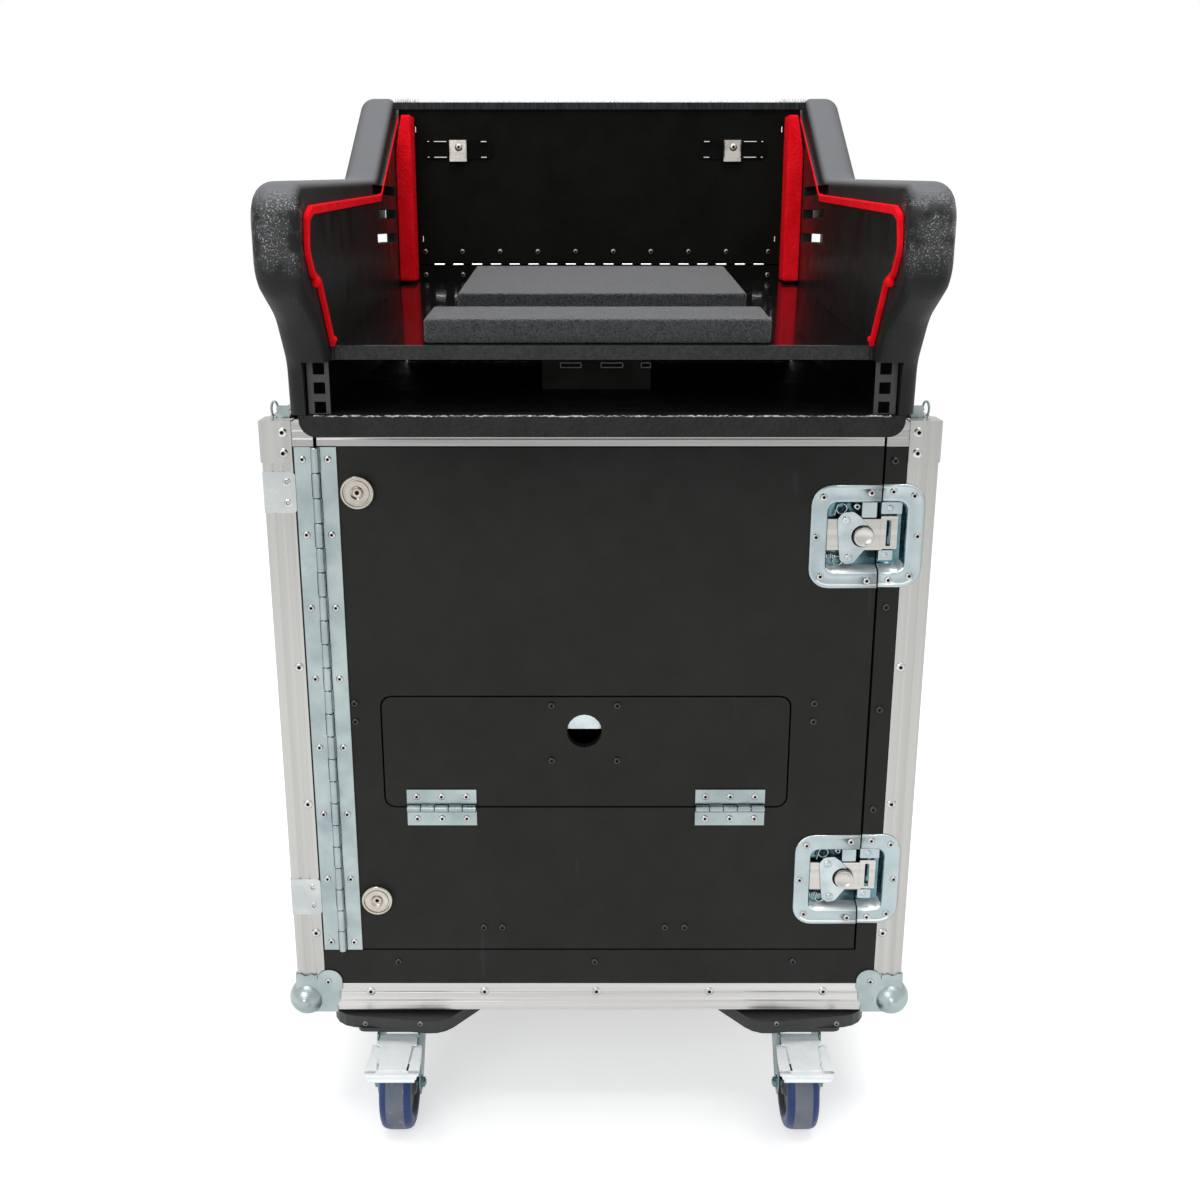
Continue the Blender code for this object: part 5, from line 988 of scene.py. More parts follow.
def make_magnets():
    """Two pot magnets on the door, and the steel plates they meet on the left post."""
    for k, z in enumerate(MAGNET_Z):
        mesh = stamped(MAGNET, [(MAGNET_X, DOOR_FACE, z)], "-Y")
        piece("door_magnet_%d" % k, mesh, "door", (NICKEL, HOLE_DARK), 35)
        low, high = STRIKE_Z[k]
        outer = CASE_SIDE + 0.0004
        face = slab("XZ", FRONT - PLATE, FRONT,
                    arc_outline([(-outer, low, 0), (-STRIKE_INNER, low, 0.004), (-STRIKE_INNER, high, 0.004),
                                 (-outer, high, 0)]))
        side = slab("YZ", -outer, -CASE_SIDE,
                    arc_outline([(FRONT - PLATE, low, 0), (FRONT + 0.026, low, 0.004),
                                 (FRONT + 0.026, high, 0.004), (FRONT - PLATE, high, 0)]))
        piece("strike_plate_%d" % k, unite(face, side), "cabinet", STRIKE_STEEL, bevel=0.0004)
        dots = [(-0.3075, FRONT - PLATE + 0.0011, z_dot) for z_dot in (low + 0.01, high - 0.01)]
        fasteners("strike_rivets_%d" % k, RIVET_HEAD, dots, "cabinet")


HOOK_X = 0.312
HOOK_Y = FRONT + 0.026


def make_lid_hooks():
    """A wire ring on a folded guide plate beside each end of the deck's front."""
    for tag, side in (("left", -1), ("right", 1)):
        x = side * HOOK_X
        guide = [block((x - 0.006, HOOK_Y - 0.004, DECK_TOP), (x + 0.006, HOOK_Y - 0.0028, CASE_TOP + 0.013)),
                 block((x - 0.006, HOOK_Y - 0.004, DECK_TOP), (x + 0.006, HOOK_Y + 0.01, DECK_TOP + 0.0012)),
                 rod((x, HOOK_Y - 0.002, CASE_TOP + 0.009), "X", 0.0012, 0.014),
                 rod((x, HOOK_Y - 0.002, CASE_TOP + 0.003), "X", 0.0012, 0.014)]
        centre = Vector((x + side * 0.0085, HOOK_Y - 0.002, CASE_TOP + 0.009))
        loop = [centre + Vector((0.0032 * math.cos(a), 0, 0.0078 * math.sin(a)))
                for a in (2 * math.pi * k / 24 for k in range(24))]
        guide.append(tube(loop, 0.0012, 10, True))
        piece("lid_hook_" + tag, joined(guide), "cabinet", ZINC, 40)


make_case_rivets()
make_braces()
make_screws()
make_ball_corners()
make_door_hinge()
make_flap_hinges()
for latch_tag, (latch_low, latch_high) in LATCH_BOXES:
    make_latch(latch_tag, (latch_low.z + latch_high.z) / 2)
make_magnets()
make_lid_hooks()


# Moulded arms
NOSE_Y = FRONT - 0.2826
NOSE_TOP = 1.0115
NOSE_LOW = 0.936
KNEE_Y = FRONT + 0.104
KNEE_Z = 1.0245
ARM_BACK = ARM_HIGH.y
HOUSING_Y = FLOOR_LOW.y
ARM_OUT = ARM_HIGH.x
ARM_IN = 0.2223
LINING_IN = ARM_LOW.x
ARM_ROUND = (0.007, 0.015)
BOLSTER = 0.046
POCKET_IN = 0.234
BAY_HALF = 0.244
BAY_TOP = 0.874
BACK_WALL = 0.01
EDGE_STEPS = 240
VENTS = (0.967, 0.991, 1.014)
VENT_SPAN = (FRONT + 0.0715, FRONT + 0.205)
VENT_HALF = 0.0045
VENT_EXITS = ((0.23, 0.25, 0.9585, 0.971), (0.23, 0.2405, 0.9875, 0.999))
FELT_LUMPS = ((NOSE_Y + 0.042, 0.9395, 0.0042), (TRAY_LOW.y - 0.001, TRAY_TOP + 0.005, 0.0028))
LINING_PROFILE = ((FRONT + 0.2705, TRAY_LOW.z, 0.0), (FRONT + 0.2705, 1.1065, 0.0),
                  (KNEE_Y - 0.004, 1.008, 0.03), (NOSE_Y + 0.0406, 0.994, 0.006),
                  (NOSE_Y + 0.0226, 0.988, 0.006), (NOSE_Y + 0.0176, 0.963, 0.012),
                  (NOSE_Y + 0.0336, 0.945, 0.006), (NOSE_Y + 0.0566, 0.938, 0.006),
                  (TRAY_LOW.y, TRAY_TOP, 0.0), (TRAY_LOW.y, TRAY_LOW.z, 0.0))


def arm_profile():
    """Side view of an arm with smooth curves."""
    low = FLOOR_HIGH.z - 0.0257
    return arc_outline([
        (ARM_BACK, low, 0.0), (ARM_BACK, KNEE_Z + 0.105, 0.0222), (KNEE_Y, KNEE_Z, 0.06),
        (NOSE_Y, NOSE_TOP, 0.03), (NOSE_Y, NOSE_LOW, 0.034), (NOSE_Y + 0.06, NOSE_LOW - 0.031, 0.05),
        (HOUSING_Y - 0.004, TRAY_LOW.z - 0.006, 0.02), (HOUSING_Y, low, 0.0)], 5)


def pocket_profile():
    """Side view of the recess in an arm's outer face."""
    floor = TRAY_TOP + 0.01
    return arc_outline([
        (ARM_BACK - BOLSTER, floor, 0.012), (ARM_BACK - BOLSTER, KNEE_Z + 0.045 - BOLSTER, 0.02),
        (KNEE_Y + 0.01, KNEE_Z - BOLSTER, 0.04), (NOSE_Y + 0.11, NOSE_TOP - BOLSTER - 0.01, 0.03),
        (NOSE_Y + 0.135, floor, 0.025)], 8)


def inset_outline(outline, distance):
    """A closed outline moved inward by a distance, corner by corner."""
    clean = [Vector(a) for a, b in zip(outline, outline[-1:] + outline[:-1])
             if (Vector(a) - Vector(b)).length > 1e-5]
    area = sum(a.x * b.y - b.x * a.y for a, b in zip(clean, clean[1:] + clean[:1]))
    turn = 1 if area > 0 else -1
    moved = []
    for index, point in enumerate(clean):
        before = (point - clean[index - 1]).normalized()
        after = (clean[(index + 1) % len(clean)] - point).normalized()
        bisector = Vector((-(before + after).y, (before + after).x)).normalized() * turn
        spread = max(0.5, math.sqrt(max(0.0, (1 + before.dot(after)) / 2)))
        moved.append(point + bisector * distance / spread)
    return moved


def rounded_slab(low, high, outline, radii, segments):
    """A slab across X whose two rims are rolled over, each by its own radius."""
    low, high = sorted((low, high))
    rings = []
    turns = [math.pi / 2 * k / segments for k in range(segments + 1)]
    sides = [(angle, radii[0], low + radii[0] * (1 - math.cos(angle))) for angle in turns]
    sides += [(angle, radii[1], high - radii[1] * (1 - math.cos(angle))) for angle in reversed(turns)]
    for angle, radius, x in sides:
        rings.append([(x, u, v) for u, v in inset_outline(outline, radius * (1 - math.sin(angle)))])
    return loft(rings, (True, True))


def strip_along(path, outward, inward):
    """A closed outline that follows a path, with a reach to each side of it for every point."""
    rims = ([], [])
    for index, point in enumerate(path):
        before = path[max(index - 1, 0)]
        after = path[min(index + 1, len(path) - 1)]
        along = (after - before).normalized()
        across = Vector((-along.y, along.x))
        rims[0].append(tuple(point - across * outward[index]))
        rims[1].append(tuple(point + across * inward[index]))
    return rims[0] + rims[1][::-1]


def felt_strip(side):
    """The red edging along the lining: wide in front, over its edge on the nose, thin up the slope."""
    outer = [Vector(point) for point in arc_outline(LINING_PROFILE[1:9], 20)]
    path = [outer[0] + Vector((-0.0004, -0.0004))] + outer[1:]
    slope = [point for point in path if point.x > KNEE_Y - 0.006]
    front = [point for point in path if point.x <= KNEE_Y - 0.006]
    front.insert(0, slope[-1])
    inward = [0.0052 if point.y > 0.984 else 0.003 for point in front]
    thin = slab("YZ", side * (LINING_IN + FIT), side * (LINING_IN - 0.0009),
                strip_along(slope, [0.0004] * len(slope), [0.0026] * len(slope)))
    face = slab("YZ", side * (LINING_IN + FIT), side * (LINING_IN - 0.001),
                strip_along(front, [0.0008] * len(front), inward))
    edge = slab("YZ", side * (LINING_IN - 0.0008), side * (LINING_IN + 0.003),
                strip_along(front, [0.0014] * len(front), [0.0004] * len(front)))
    lumps = []
    for y, z, size in FELT_LUMPS:
        lump = turned([(0, -0.0032), (0.6 * size, -0.003), (0.9 * size, -0.0018), (size, 0),
                       (0.9 * size, 0.0018), (0.6 * size, 0.003), (0, 0.0032)], 18)
        lump.transform(Matrix.Translation((side * (LINING_IN + 0.0004), y, z)) @ AXIS_TURN["X"])
        lumps.append(lump)
    return joined([thin, face, edge, *lumps])


def make_arms():
    """Each arm: moulded bolster, dark lining panel and felt edging."""
    for name, side in (("left", -1), ("right", 1)):
        body = rounded_slab(side * ARM_IN, side * ARM_OUT, arm_profile(), ARM_ROUND[::side], 7)
        reach = ARM_BACK - BACK_WALL
        ahead = NOSE_Y + 0.06
        inner = side * (LINING_IN - OVERCUT)
        outer = side * (ARM_OUT + OVERCUT)
        bay = block((inner, ahead, FLOOR_HIGH.z - OVERCUT), (side * BAY_HALF, reach, BAY_TOP))
        under = block((inner, ahead, FLOOR_LOW.z - 0.05), (outer, reach, FLOOR_HIGH.z + FIT))
        pocket = slab("YZ", side * POCKET_IN, outer, pocket_profile())
        slots = [block((inner, VENT_SPAN[0], z - VENT_HALF),
                       (side * (POCKET_IN + FIT), VENT_SPAN[1], z + VENT_HALF)) for z in VENTS]
        gaps = [block((side * near, FRONT + 0.2, low), (side * far, ARM_BACK + OVERCUT, high))
                for near, far, low, high in VENT_EXITS]
        body = cut(body, bay, under, pocket, *slots, *gaps, solver="MANIFOLD")
        piece("arm_moulded_" + name, body, "housing", COATING, 45, replaces=("arm_" + name,))
        panel = slab("YZ", side * LINING_IN, side * (ARM_IN + FIT), arc_outline(LINING_PROFILE, 8))
        panel = cut(panel, *slots)
        piece("arm_lining_" + name, panel, "housing", LINING, bevel=0.0004)
        piece("felt_edge_" + name, felt_strip(side), "housing", FELT, bevel=0.0005)


def make_housing_floor():
    """The coated floor of the rack bay, with a painted highlight along its front edge."""
    half = FLOOR_HIGH.x
    section = arc_outline([(-half, FLOOR_LOW.z, 0.014), (half, FLOOR_LOW.z, 0.014), (half, FLOOR_HIGH.z, 0),
                           (-half, FLOOR_HIGH.z, 0)], 8)
    floor = slab("XZ", FLOOR_LOW.y, FLOOR_HIGH.y, section)
    piece("housing_floor_coated", floor, "housing", MOULDING, bevel=0.0012,
          replaces=("housing_floor",))
    face = block((TRAY_LOW.x, TRAY_LOW.y - 0.0005, TRAY_LOW.z + FIT),
                 (TRAY_HIGH.x, TRAY_LOW.y, TRAY_TOP - FIT))
    piece("tray_front_edge", face, "housing", TRAY_EDGE, bevel=0.0002)
    random.seed(5)
    path = []
    for k in range(EDGE_STEPS + 1):
        x = -0.238 + 0.476 * k / EDGE_STEPS
        path.append((x, FLOOR_LOW.y + 0.0004 + random.uniform(0, 0.0004),
                     FLOOR_HIGH.z - 0.0006 + random.uniform(-0.0003, 0.0003)))
    # A thin pale tube along the front edge: painted highlight.
    piece("housing_floor_edge", tube(path, 0.0008, 6), "housing", PAINTED_EDGE_HIGHLIGHT)


# Soft pads
def soft_block(size, radius, ripple, seed, cuts=26):
    """A cut foam or felt block: even grid, slightly rounded edges and uneven faces."""
    bm = bmesh.new()
    bmesh.ops.create_cube(bm, size=2.0)
    bmesh.ops.subdivide_edges(bm, edges=bm.edges[:], cuts=cuts, use_grid_fill=True)
    half = Vector(size) / 2
    for vertex in bm.verts:
        place = Vector([math.copysign(1 - (1 - abs(t)) ** 1.5, t) * h for t, h in zip(vertex.co, half)])
        core = Vector([max(min(p, h - radius), radius - h) for p, h in zip(place, half)])
        away = place - core
        if away.length > 0:
            place = core + away.normalized() * min(radius, away.length * 1.2)
        wave = noise.noise(place * 38 + Vector((seed, 0, 0)))
        wave += 0.4 * noise.noise(place * 120 + Vector((0, seed, 0)))
        vertex.co = place + place.normalized() * ripple * (wave - 0.8)
    return mesh_from(bm)


def make_pads():
    """Foam pads on the tray and felt pads in its rear corners."""
    thickness = 0.0198
    for name, seed, grow in (("foam_pad_front", 1.0, (0.006, -0.0015)),
                             ("foam_pad_rear", 4.0, (0.0028, 0.005))):
        low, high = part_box(name)
        low.x -= grow[0]
        high.x += grow[1]
        depth = (high.y - low.y) / math.cos(TRAY_TILT)
        mesh = soft_block((high.x - low.x, depth, thickness), 0.0022, 0.0003, seed)
        middle = (low + high) / 2
        mesh.transform(Matrix.Translation(middle) @ Matrix.Rotation(TRAY_TILT, 4, "X"))
        item = piece(name + "_cut", mesh, "housing", FOAM, 70, replaces=(name,))
    for name, side, seed in (("corner_pad_left", -1, 7.0), ("corner_pad_right", 1, 9.0)):
        low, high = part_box(name)
        mesh = soft_block(high - low, 0.0014, 0.0002, seed)
        for vertex in mesh.vertices:
            if side * vertex.co.x < 0:
                vertex.co.x += side * 0.0026
            else:
                vertex.co.x -= side * 0.0075 * max(0.0, vertex.co.z / (high.z - low.z) - 0.28) / 0.22
        mesh.transform(Matrix.Translation((low + high) / 2))
        item = piece(name + "_felt", mesh, "housing", FELT, 70, replaces=(name,))


# Rear wall of the housing
KNUCKLE_Z = 0.9375
FLAP_RIVETS = [-0.1527 + 0.0421 * k for k in range(8)]
WALL_LATCHES = (("left", -0.1543, -1), ("right", 0.1453, 1))
TAB_HALF = 0.0093
TAB_LOW = 1.0503
TAB_HIGH = 1.069
TAB_LIP = 1.0468
TAB_PROUD = 0.0052
TRACK_HALF = 0.039
TRACK_LOW = 1.049
TRACK_HIGH = 1.0695
TRACK_CORNER = 0.0085
BRUSH_HALF = 0.225
FIBRES = 1500
FIBRE_RADIUS = 0.00022
WALL_GLINTS = ((-0.196, 0.965), (0.1955, 0.965), (-0.2005, 1.08), (0.199, 1.08))
TINY_RIVET = turned([(0, 0), (0.003, 0), (0.0029, 0.0006), (0.0022, 0.0012), (0.0013, 0.0013),
                     (0.0009, 0.001), (0.0008, 0.0003), (0, 0.0003)], 16, dark_from=4)


def make_rear_wall():
    """Bright hinge knuckles in the slit, rivet rows, slide latches and a brush along the top."""
    knuckles = [rod((-0.1785 + 0.021 * k, WALL_Y - 0.0004, KNUCKLE_Z), "X", 0.0011, 0.0115, 10)
                for k in range(18)]
    piece("rear_hinge_knuckles", joined(knuckles), "housing", MIRROR_NICKEL)
    columns = (-0.194, *FLAP_RIVETS, 0.189)
    for name, z, body in (("rear_flap_rivets", 0.9513, "rear_flap"), ("rear_sill_rivets", 0.9261, "housing")):
        fasteners(name, TINY_RIVET, [(x, WALL_Y, z) for x in columns], body, look=DULL_RIVET)
    ends = [rod((x, WALL_Y - 0.0006, z), "Z", 0.0008, 0.006, 8) for x, z in WALL_GLINTS]
    piece("rear_flap_end_pins", joined(ends), "rear_flap", MIRROR_NICKEL)
    for name, x, side in WALL_LATCHES:
        tab = slab("XZ", WALL_Y - TAB_PROUD, WALL_Y - 0.004,
                   rectangle(x - TAB_HALF, x + TAB_HALF, TAB_LOW, TAB_HIGH, 0.0012))
        edge = [slab("XZ", WALL_Y - TAB_PROUD, WALL_Y,
                     rectangle(x + k * 0.0087 - 0.0006, x + k * 0.0087 + 0.0006, TAB_LOW, TAB_HIGH, 0.0002))
                for k in (-1, 1)]
        lip = block((x - TAB_HALF, WALL_Y - TAB_PROUD, TAB_LIP), (x + TAB_HALF, WALL_Y - 0.0008, 1.0505))
        piece("slide_latch_tab_" + name, joined([tab, *edge, lip]), "rear_flap", TAB_STEEL, 35)
        screw = (x + 0.0008, WALL_Y - 0.005, 1.0615)
        fasteners("slide_latch_screw_" + name, BUTTON_SCREW, [screw], "rear_flap", look=NICKEL)
        track = slab("XZ", WALL_Y - 0.001, WALL_Y,
                     rectangle(x - TRACK_HALF, x + TRACK_HALF, TRACK_LOW, TRACK_HIGH, TRACK_CORNER))
        piece("slide_latch_track_" + name, track, "rear_flap", TRACK_DARK, bevel=0.0003)
        bars = []
        for z in (1.0511, 1.0674):
            for offset, length in ((0.0195, 0.014), (0.0325, 0.0022), (-0.028, 0.0062)):
                bars.append(rod((x + side * offset, WALL_Y - 0.0016, z), "X", 0.0008, length, 8))
        piece("slide_latch_bars_" + name, joined(bars), "rear_flap", MIRROR_NICKEL)
    back = block((-0.2252, WALL_Y - 0.003, 1.1), (0.2252, WALL_Y - FIT, 1.1078))
    piece("brush_holder", back, "rear_flap", BRISTLE, bevel=0.0008)
    random.seed(11)
    fibres = []
    for _ in range(FIBRES):
        x = random.uniform(-BRUSH_HALF, BRUSH_HALF)
        if abs(x) < 0.195 and random.random() < 0.35:
            continue
        y = WALL_Y + random.uniform(-0.003, 0.006)
        rise = random.uniform(0.0015, 0.0035) * (1.8 if abs(x) > 0.197 else 1.0)
        lean = Vector((random.uniform(-0.5, 0.5), random.uniform(-0.6, 0.4), 1.0)) * rise
        fibres.append((Vector((x, y, 1.104)), Vector((x, y, 1.1072)) + lean))
    bm = bmesh.new()
    for foot, tip in fibres:
        base = [bm.verts.new(foot + Vector((FIBRE_RADIUS * math.cos(a), FIBRE_RADIUS * math.sin(a), 0)))
                for a in (0, 2.1, 4.2)]
        top = bm.verts.new(tip)
        for k in range(3):
            bm.faces.new((base[k], base[(k + 1) % 3], top))
    piece("brush_fibres", mesh_from(bm), "rear_flap", BRISTLE)


def make_bay_fittings():
    """A slotted box under the tray, and a brush across the cable notch."""
    x_low, x_high = -0.0555, 0.0475
    y = FRONT - 0.018
    shell = block((x_low, y, FLOOR_HIGH.z + FIT), (x_high, y + 0.045, TRAY_LOW.z - FIT))
    mouths = [(-0.038, -0.0185), (0.0003, 0.0208), (0.0383, 0.047)]
    for low, high in mouths:
        shell = cut(shell, block((low + 0.0006, y - OVERCUT, 0.8518), (high - 0.0006, y + 0.006, 0.8548)))
    piece("bay_box", shell, "housing", BAY_DARK, bevel=0.0008)
    rims = []
    for low, high in mouths:
        points = ring(low, high, 0.8512, 0.8554, 0.0009, 3)
        rims.append(tube([(x, y - 0.0003, z) for x, z in points], 0.00045, 6, True))
    piece("bay_box_rims", joined(rims), "housing", PALE_RIM)
    low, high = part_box("rear_sill")
    brush = block((-0.055, low.y + 0.003, FLOOR_HIGH.z + FIT), (0.055, high.y - 0.003, FLOOR_HIGH.z + 0.034))
    piece("cable_brush", brush, "housing", BRISTLE, bevel=0.0006)


# Castors
CASTOR_X = 0.224
CASTOR_FRONT_Y = FRONT + 0.044
CASTOR_REAR_Y = FRONT + 0.596
CASTOR_PLACES = {"front_left": (-CASTOR_X, CASTOR_FRONT_Y), "front_right": (CASTOR_X, CASTOR_FRONT_Y),
                 "rear_left": (-CASTOR_X, CASTOR_REAR_Y), "rear_right": (CASTOR_X, CASTOR_REAR_Y)}
CASTOR_PLATE = (0.1243, 0.1269)
AXLE_AHEAD = 0.038
AXLE_Z = 0.05
PEDAL_AHEAD = 0.0345
PEDAL_Z = 0.1075
CHEEK = ((0.024, 0.1125, 0.002), (-0.038, 0.1125, 0.006), (-0.0505, 0.05, 0.01), (-0.0465, 0.037, 0.0095),
         (-0.029, 0.037, 0.0095), (0.006, 0.0775, 0.02), (0.024, 0.0985, 0.004))
TYRE_PROFILE = ((0.0372, 0.0172), (0.04, 0.0178), (0.044, 0.0176), (0.0468, 0.0164), (0.0484, 0.0144),
                (0.0493, 0.012), (0.0497, 0.0098), (0.0499, 0.0085), (0.05, 0.004))
HUB_PROFILE = ((0.0068, 0.0176), (0.013, 0.0176), (0.015, 0.013), (0.034, 0.0124), (0.0368, 0.0165),
               (0.038, 0.0172))


def wheel_mesh(profile, sides):
    """A mirrored profile turned round X."""
    mirrored = list(profile) + [(radius, -height) for radius, height in reversed(profile)]
    mesh = turned([*mirrored, mirrored[0]], sides)
    mesh.transform(AXIS_TURN["X"])
    return mesh


def nut(place, axis, radius, length):
    """A hexagon nut with a washer under it and the screw's end showing."""
    shape = joined([turned([(0, 0), (1.25 * radius, 0), (1.25 * radius, 0.0008), (0, 0.0008)], 20),
                    turned([(0, 0.0008), (radius, 0.0008), (radius, length - 0.0006), (0.9 * radius, length),
                            (0, length)], 6),
                    turned([(0, length), (0.5 * radius, length), (0.45 * radius, length + 0.001),
                            (0, length + 0.001)], 14)])
    return stamped(shape, [place], axis)


def make_castor_looks():
    """Forks, wheels and plates of all castors, with brake pedals in front."""
    head = turned([(0, 0.1116), (0.018, 0.1108), (0.0225, 0.1112), (0.024, 0.113), (0.0262, 0.115),
                   (0.0268, 0.118), (0.0266, 0.1205), (0.025, 0.1212), (0.025, 0.1222), (0.0262, 0.1228),
                   (0.0262, 0.1241), (0, 0.1241)], 40)
    for tag, (x, y) in CASTOR_PLACES.items():
        axle_y = y - AXLE_AHEAD
        fork = [stamped(head, [(x, y, 0)], "Z")]
        outline = arc_outline([(y + u, v, r) for u, v, r in CHEEK])
        for k in (-1, 1):
            fork.append(rounded_slab(x + k * 0.0215, x + k * 0.024, outline, (0.0007, 0.0007), 2))
            fork.append(nut((x + k * 0.024, axle_y, AXLE_Z), "X" if k > 0 else "-X", 0.0062, 0.004))
        yoke = slab("XZ", y - 0.0285, y + 0.022, arc_outline([
            (x - 0.024, 0.1085, 0.001), (x + 0.024, 0.1085, 0.001), (x + 0.024, 0.1128, 0.0035),
            (x - 0.024, 0.1128, 0.0035)]))
        shield = slab("XZ", y - 0.03, y - 0.0284, arc_outline([
            (x - 0.0238, 0.1088, 0.002), (x + 0.0238, 0.1088, 0.002), (x + 0.0238, 0.12, 0.004),
            (x - 0.0238, 0.12, 0.004)]))
        fork += [yoke, shield, rod((x, axle_y, AXLE_Z), "X", 0.006, 0.047, 16)]
        piece("castor_fork_pressed_" + tag, joined(fork), "castor_fork_" + tag, FORK_ZINC, 35,
              replaces=("castor_fork_" + tag,))
        place = Matrix.Translation((x, axle_y, AXLE_Z))
        tyre = wheel_mesh(TYRE_PROFILE, 72)
        for polygon in tyre.polygons:
            polygon.material_index = 1 if math.hypot(polygon.center.y, polygon.center.z) > 0.04975 else 0
        tyre.transform(place)
        piece("castor_tyre_" + tag, tyre, "castor_wheel_" + tag, (TYRE, TREAD), 50,
              replaces=("castor_wheel_" + tag,))
        hub = wheel_mesh(HUB_PROFILE, 48)
        hub.transform(place)
        piece("castor_hub_" + tag, hub, "castor_wheel_" + tag, HUB, 30)
        plate = slab("XY", *CASTOR_PLATE, rectangle(x - 0.0408, x + 0.0408, y - 0.0508, y + 0.0508, 0.006))
        bolts = [nut((x + u * 0.03, y + v * 0.04, CASTOR_PLATE[0]), "-Z", 0.006, 0.0045) for u in (-1, 1)
                 for v in (-1, 1)]
        piece("castor_plate_" + tag, joined([plate, *bolts]), "cabinet", ZINC, 30)
        if tag.startswith("front"):
            make_pedal(tag, x, y - PEDAL_AHEAD)


def leaning(outline, rear_z, slope, thickness):
    """A flat plate over a plan outline of (x, u) about the pedal's pin, sloping down ahead of it."""
    mesh = slab("XY", -thickness, 0.0, outline)
    for vertex in mesh.vertices:
        vertex.co.z += rear_z + slope * vertex.co.y
    return mesh


def make_pedal(tag, x, axis_y):
    """A pressed brake pedal: centre plate with ears, side blocks, ledge and toe."""
    slope = 0.165
    base = leaning([(-0.0212, 0.003), (0.0212, 0.003), (0.0212, -0.013), (0.0275, -0.015), (0.029, -0.04),
                    (-0.029, -0.04), (-0.0275, -0.015), (-0.0212, -0.013)], 0.0000, slope, 0.0018)
    centre = leaning([(-0.022, -0.0125), (-0.022, -0.0185), (-0.0175, -0.0195), (-0.015, -0.056),
                      (0.015, -0.056), (0.0175, -0.0195), (0.022, -0.0185), (0.022, -0.0125)],
                     0.0042, slope, 0.0016)
    blocks = []
    for k in (-1, 1):
        corners = [(k * 0.0292, -0.06, 0.001), (k * 0.0292, -0.04, 0.006), (k * 0.0182, -0.0385, 0.003),
                   (k * 0.0172, -0.06, 0.001)]
        blocks.append(leaning(arc_outline(corners), 0.0035, slope, 0.003))
    ledge = leaning(rectangle(-0.0294, 0.0294, -0.0622, -0.056, 0.002), 0.0035, slope, 0.002)
    toe = slab("XZ", -0.064, -0.062, arc_outline([(-0.025, -0.0125, 0.001), (0.025, -0.0125, 0.001),
                                                   (0.0285, -0.0085, 0.001), (-0.0285, -0.0085, 0.001)]))
    lip = rod((0, -0.0638, -0.0132), "X", 0.0016, 0.05, 12)
    mesh = joined([base, centre, *blocks, ledge, toe, lip])
    mesh.transform(Matrix.Translation((x, axis_y, PEDAL_Z)))
    # The pedal takes the painted highlight finish.
    piece("brake_pedal_pressed_" + tag, mesh, "brake_pedal_" + tag, PEDAL_ZINC_PAINTED_HIGHLIGHT, 35,
          bevel=0.0005, replaces=("brake_pedal_" + tag,))


BOARD_SCREWS = ((-0.256, 0.1395), (-0.196, 0.1395), (0.194, 0.1395), (0.2596, 0.1395))

# Side handles
HANDLE_Y = FRONT + 0.32
HANDLE_Z = 0.52
HANDLE_SINK = 0.0022
DISH_RIMS = ((0.083, 0.06, 0.01), (0.0695, 0.047, 0.008))
DISH_SHEET = 0.0008
BAIL_HALF = 0.0577


def make_side_handles():
    """A pressed dish round each window with a sprung bail and rubber grip."""
    for name, side in (("left", -1), ("right", 1)):
        skin = side * (CASE_SIDE - HANDLE_SINK)
        levels = ((0.0, 0.0000, 0), (0.0008, 0.0014, 0), (0.004, 0.0014, 0), (-0.0015, 0.0012, 1),
                  (0.0004, 0.0004, 1), (0.001, -0.003, 1), (0.004, -0.012, 1))
        rings = []
        for inset, depth, kind in levels:
            half_y, half_z, corner = DISH_RIMS[kind]
            points = ring(HANDLE_Y - half_y + inset, HANDLE_Y + half_y - inset, HANDLE_Z - half_z + inset,
                          HANDLE_Z + half_z - inset, corner)
            rings.append([(skin + side * depth, y, z) for y, z in points])
        item = piece("handle_dish_" + name, loft(rings), "cabinet", ZINC, 45)
        thicken(item, DISH_SHEET)
        rivets = [(skin + side * 0.0014, HANDLE_Y + u * 0.0765, HANDLE_Z + v * 0.0535) for u in (-1, 1)
                  for v in (-1, 1)]
        fasteners("handle_rivets_" + name, SMALL_RIVET, rivets, "cabinet", "X" if side > 0 else "-X")
        low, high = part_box("side_handle_" + name)
        x = (low.x + high.x) / 2
        half = (high.y - low.y) / 2
        top = HANDLE_Z + 0.0355
        grip_z = HANDLE_Z - 0.0335
        path = [(x, HANDLE_Y - half, top), (x, HANDLE_Y - BAIL_HALF - 0.003, top)]
        turns = [math.pi / 2 * k / 4 for k in range(5)]
        path += [(x, HANDLE_Y - BAIL_HALF - 0.003 + 0.003 * math.sin(angle),
                  top - 0.003 + 0.003 * math.cos(angle)) for angle in turns]
        path += [(x, HANDLE_Y - BAIL_HALF + 0.006 - 0.006 * math.cos(angle),
                  grip_z + 0.006 - 0.006 * math.sin(angle)) for angle in turns]
        path += [(px, 2 * HANDLE_Y - py, pz) for px, py, pz in reversed(path)]
        piece("handle_bail_" + name, tube(path, 0.0034, 12), "side_handle_" + name, BRIGHT_ZINC,
              60, replaces=("side_handle_" + name,))
        grooves = [(0, -0.044)]
        for k in range(12):
            z = -0.044 + 0.088 * k / 11
            radius = 0.0044 if 0 < k < 11 else 0.004
            grooves += [(radius, z), (radius, z + 0.0012)]
            if k < 11:
                grooves += [(0.0041, z + 0.0022), (0.0041, z + 0.0068)]
        grooves.append((0, grooves[-1][1]))
        grip = turned(grooves, 20)
        grip.transform(Matrix.Translation((x, HANDLE_Y, grip_z)) @ AXIS_TURN["Y"])
        piece("handle_grip_" + name, grip, "side_handle_" + name, RUBBER, 50)


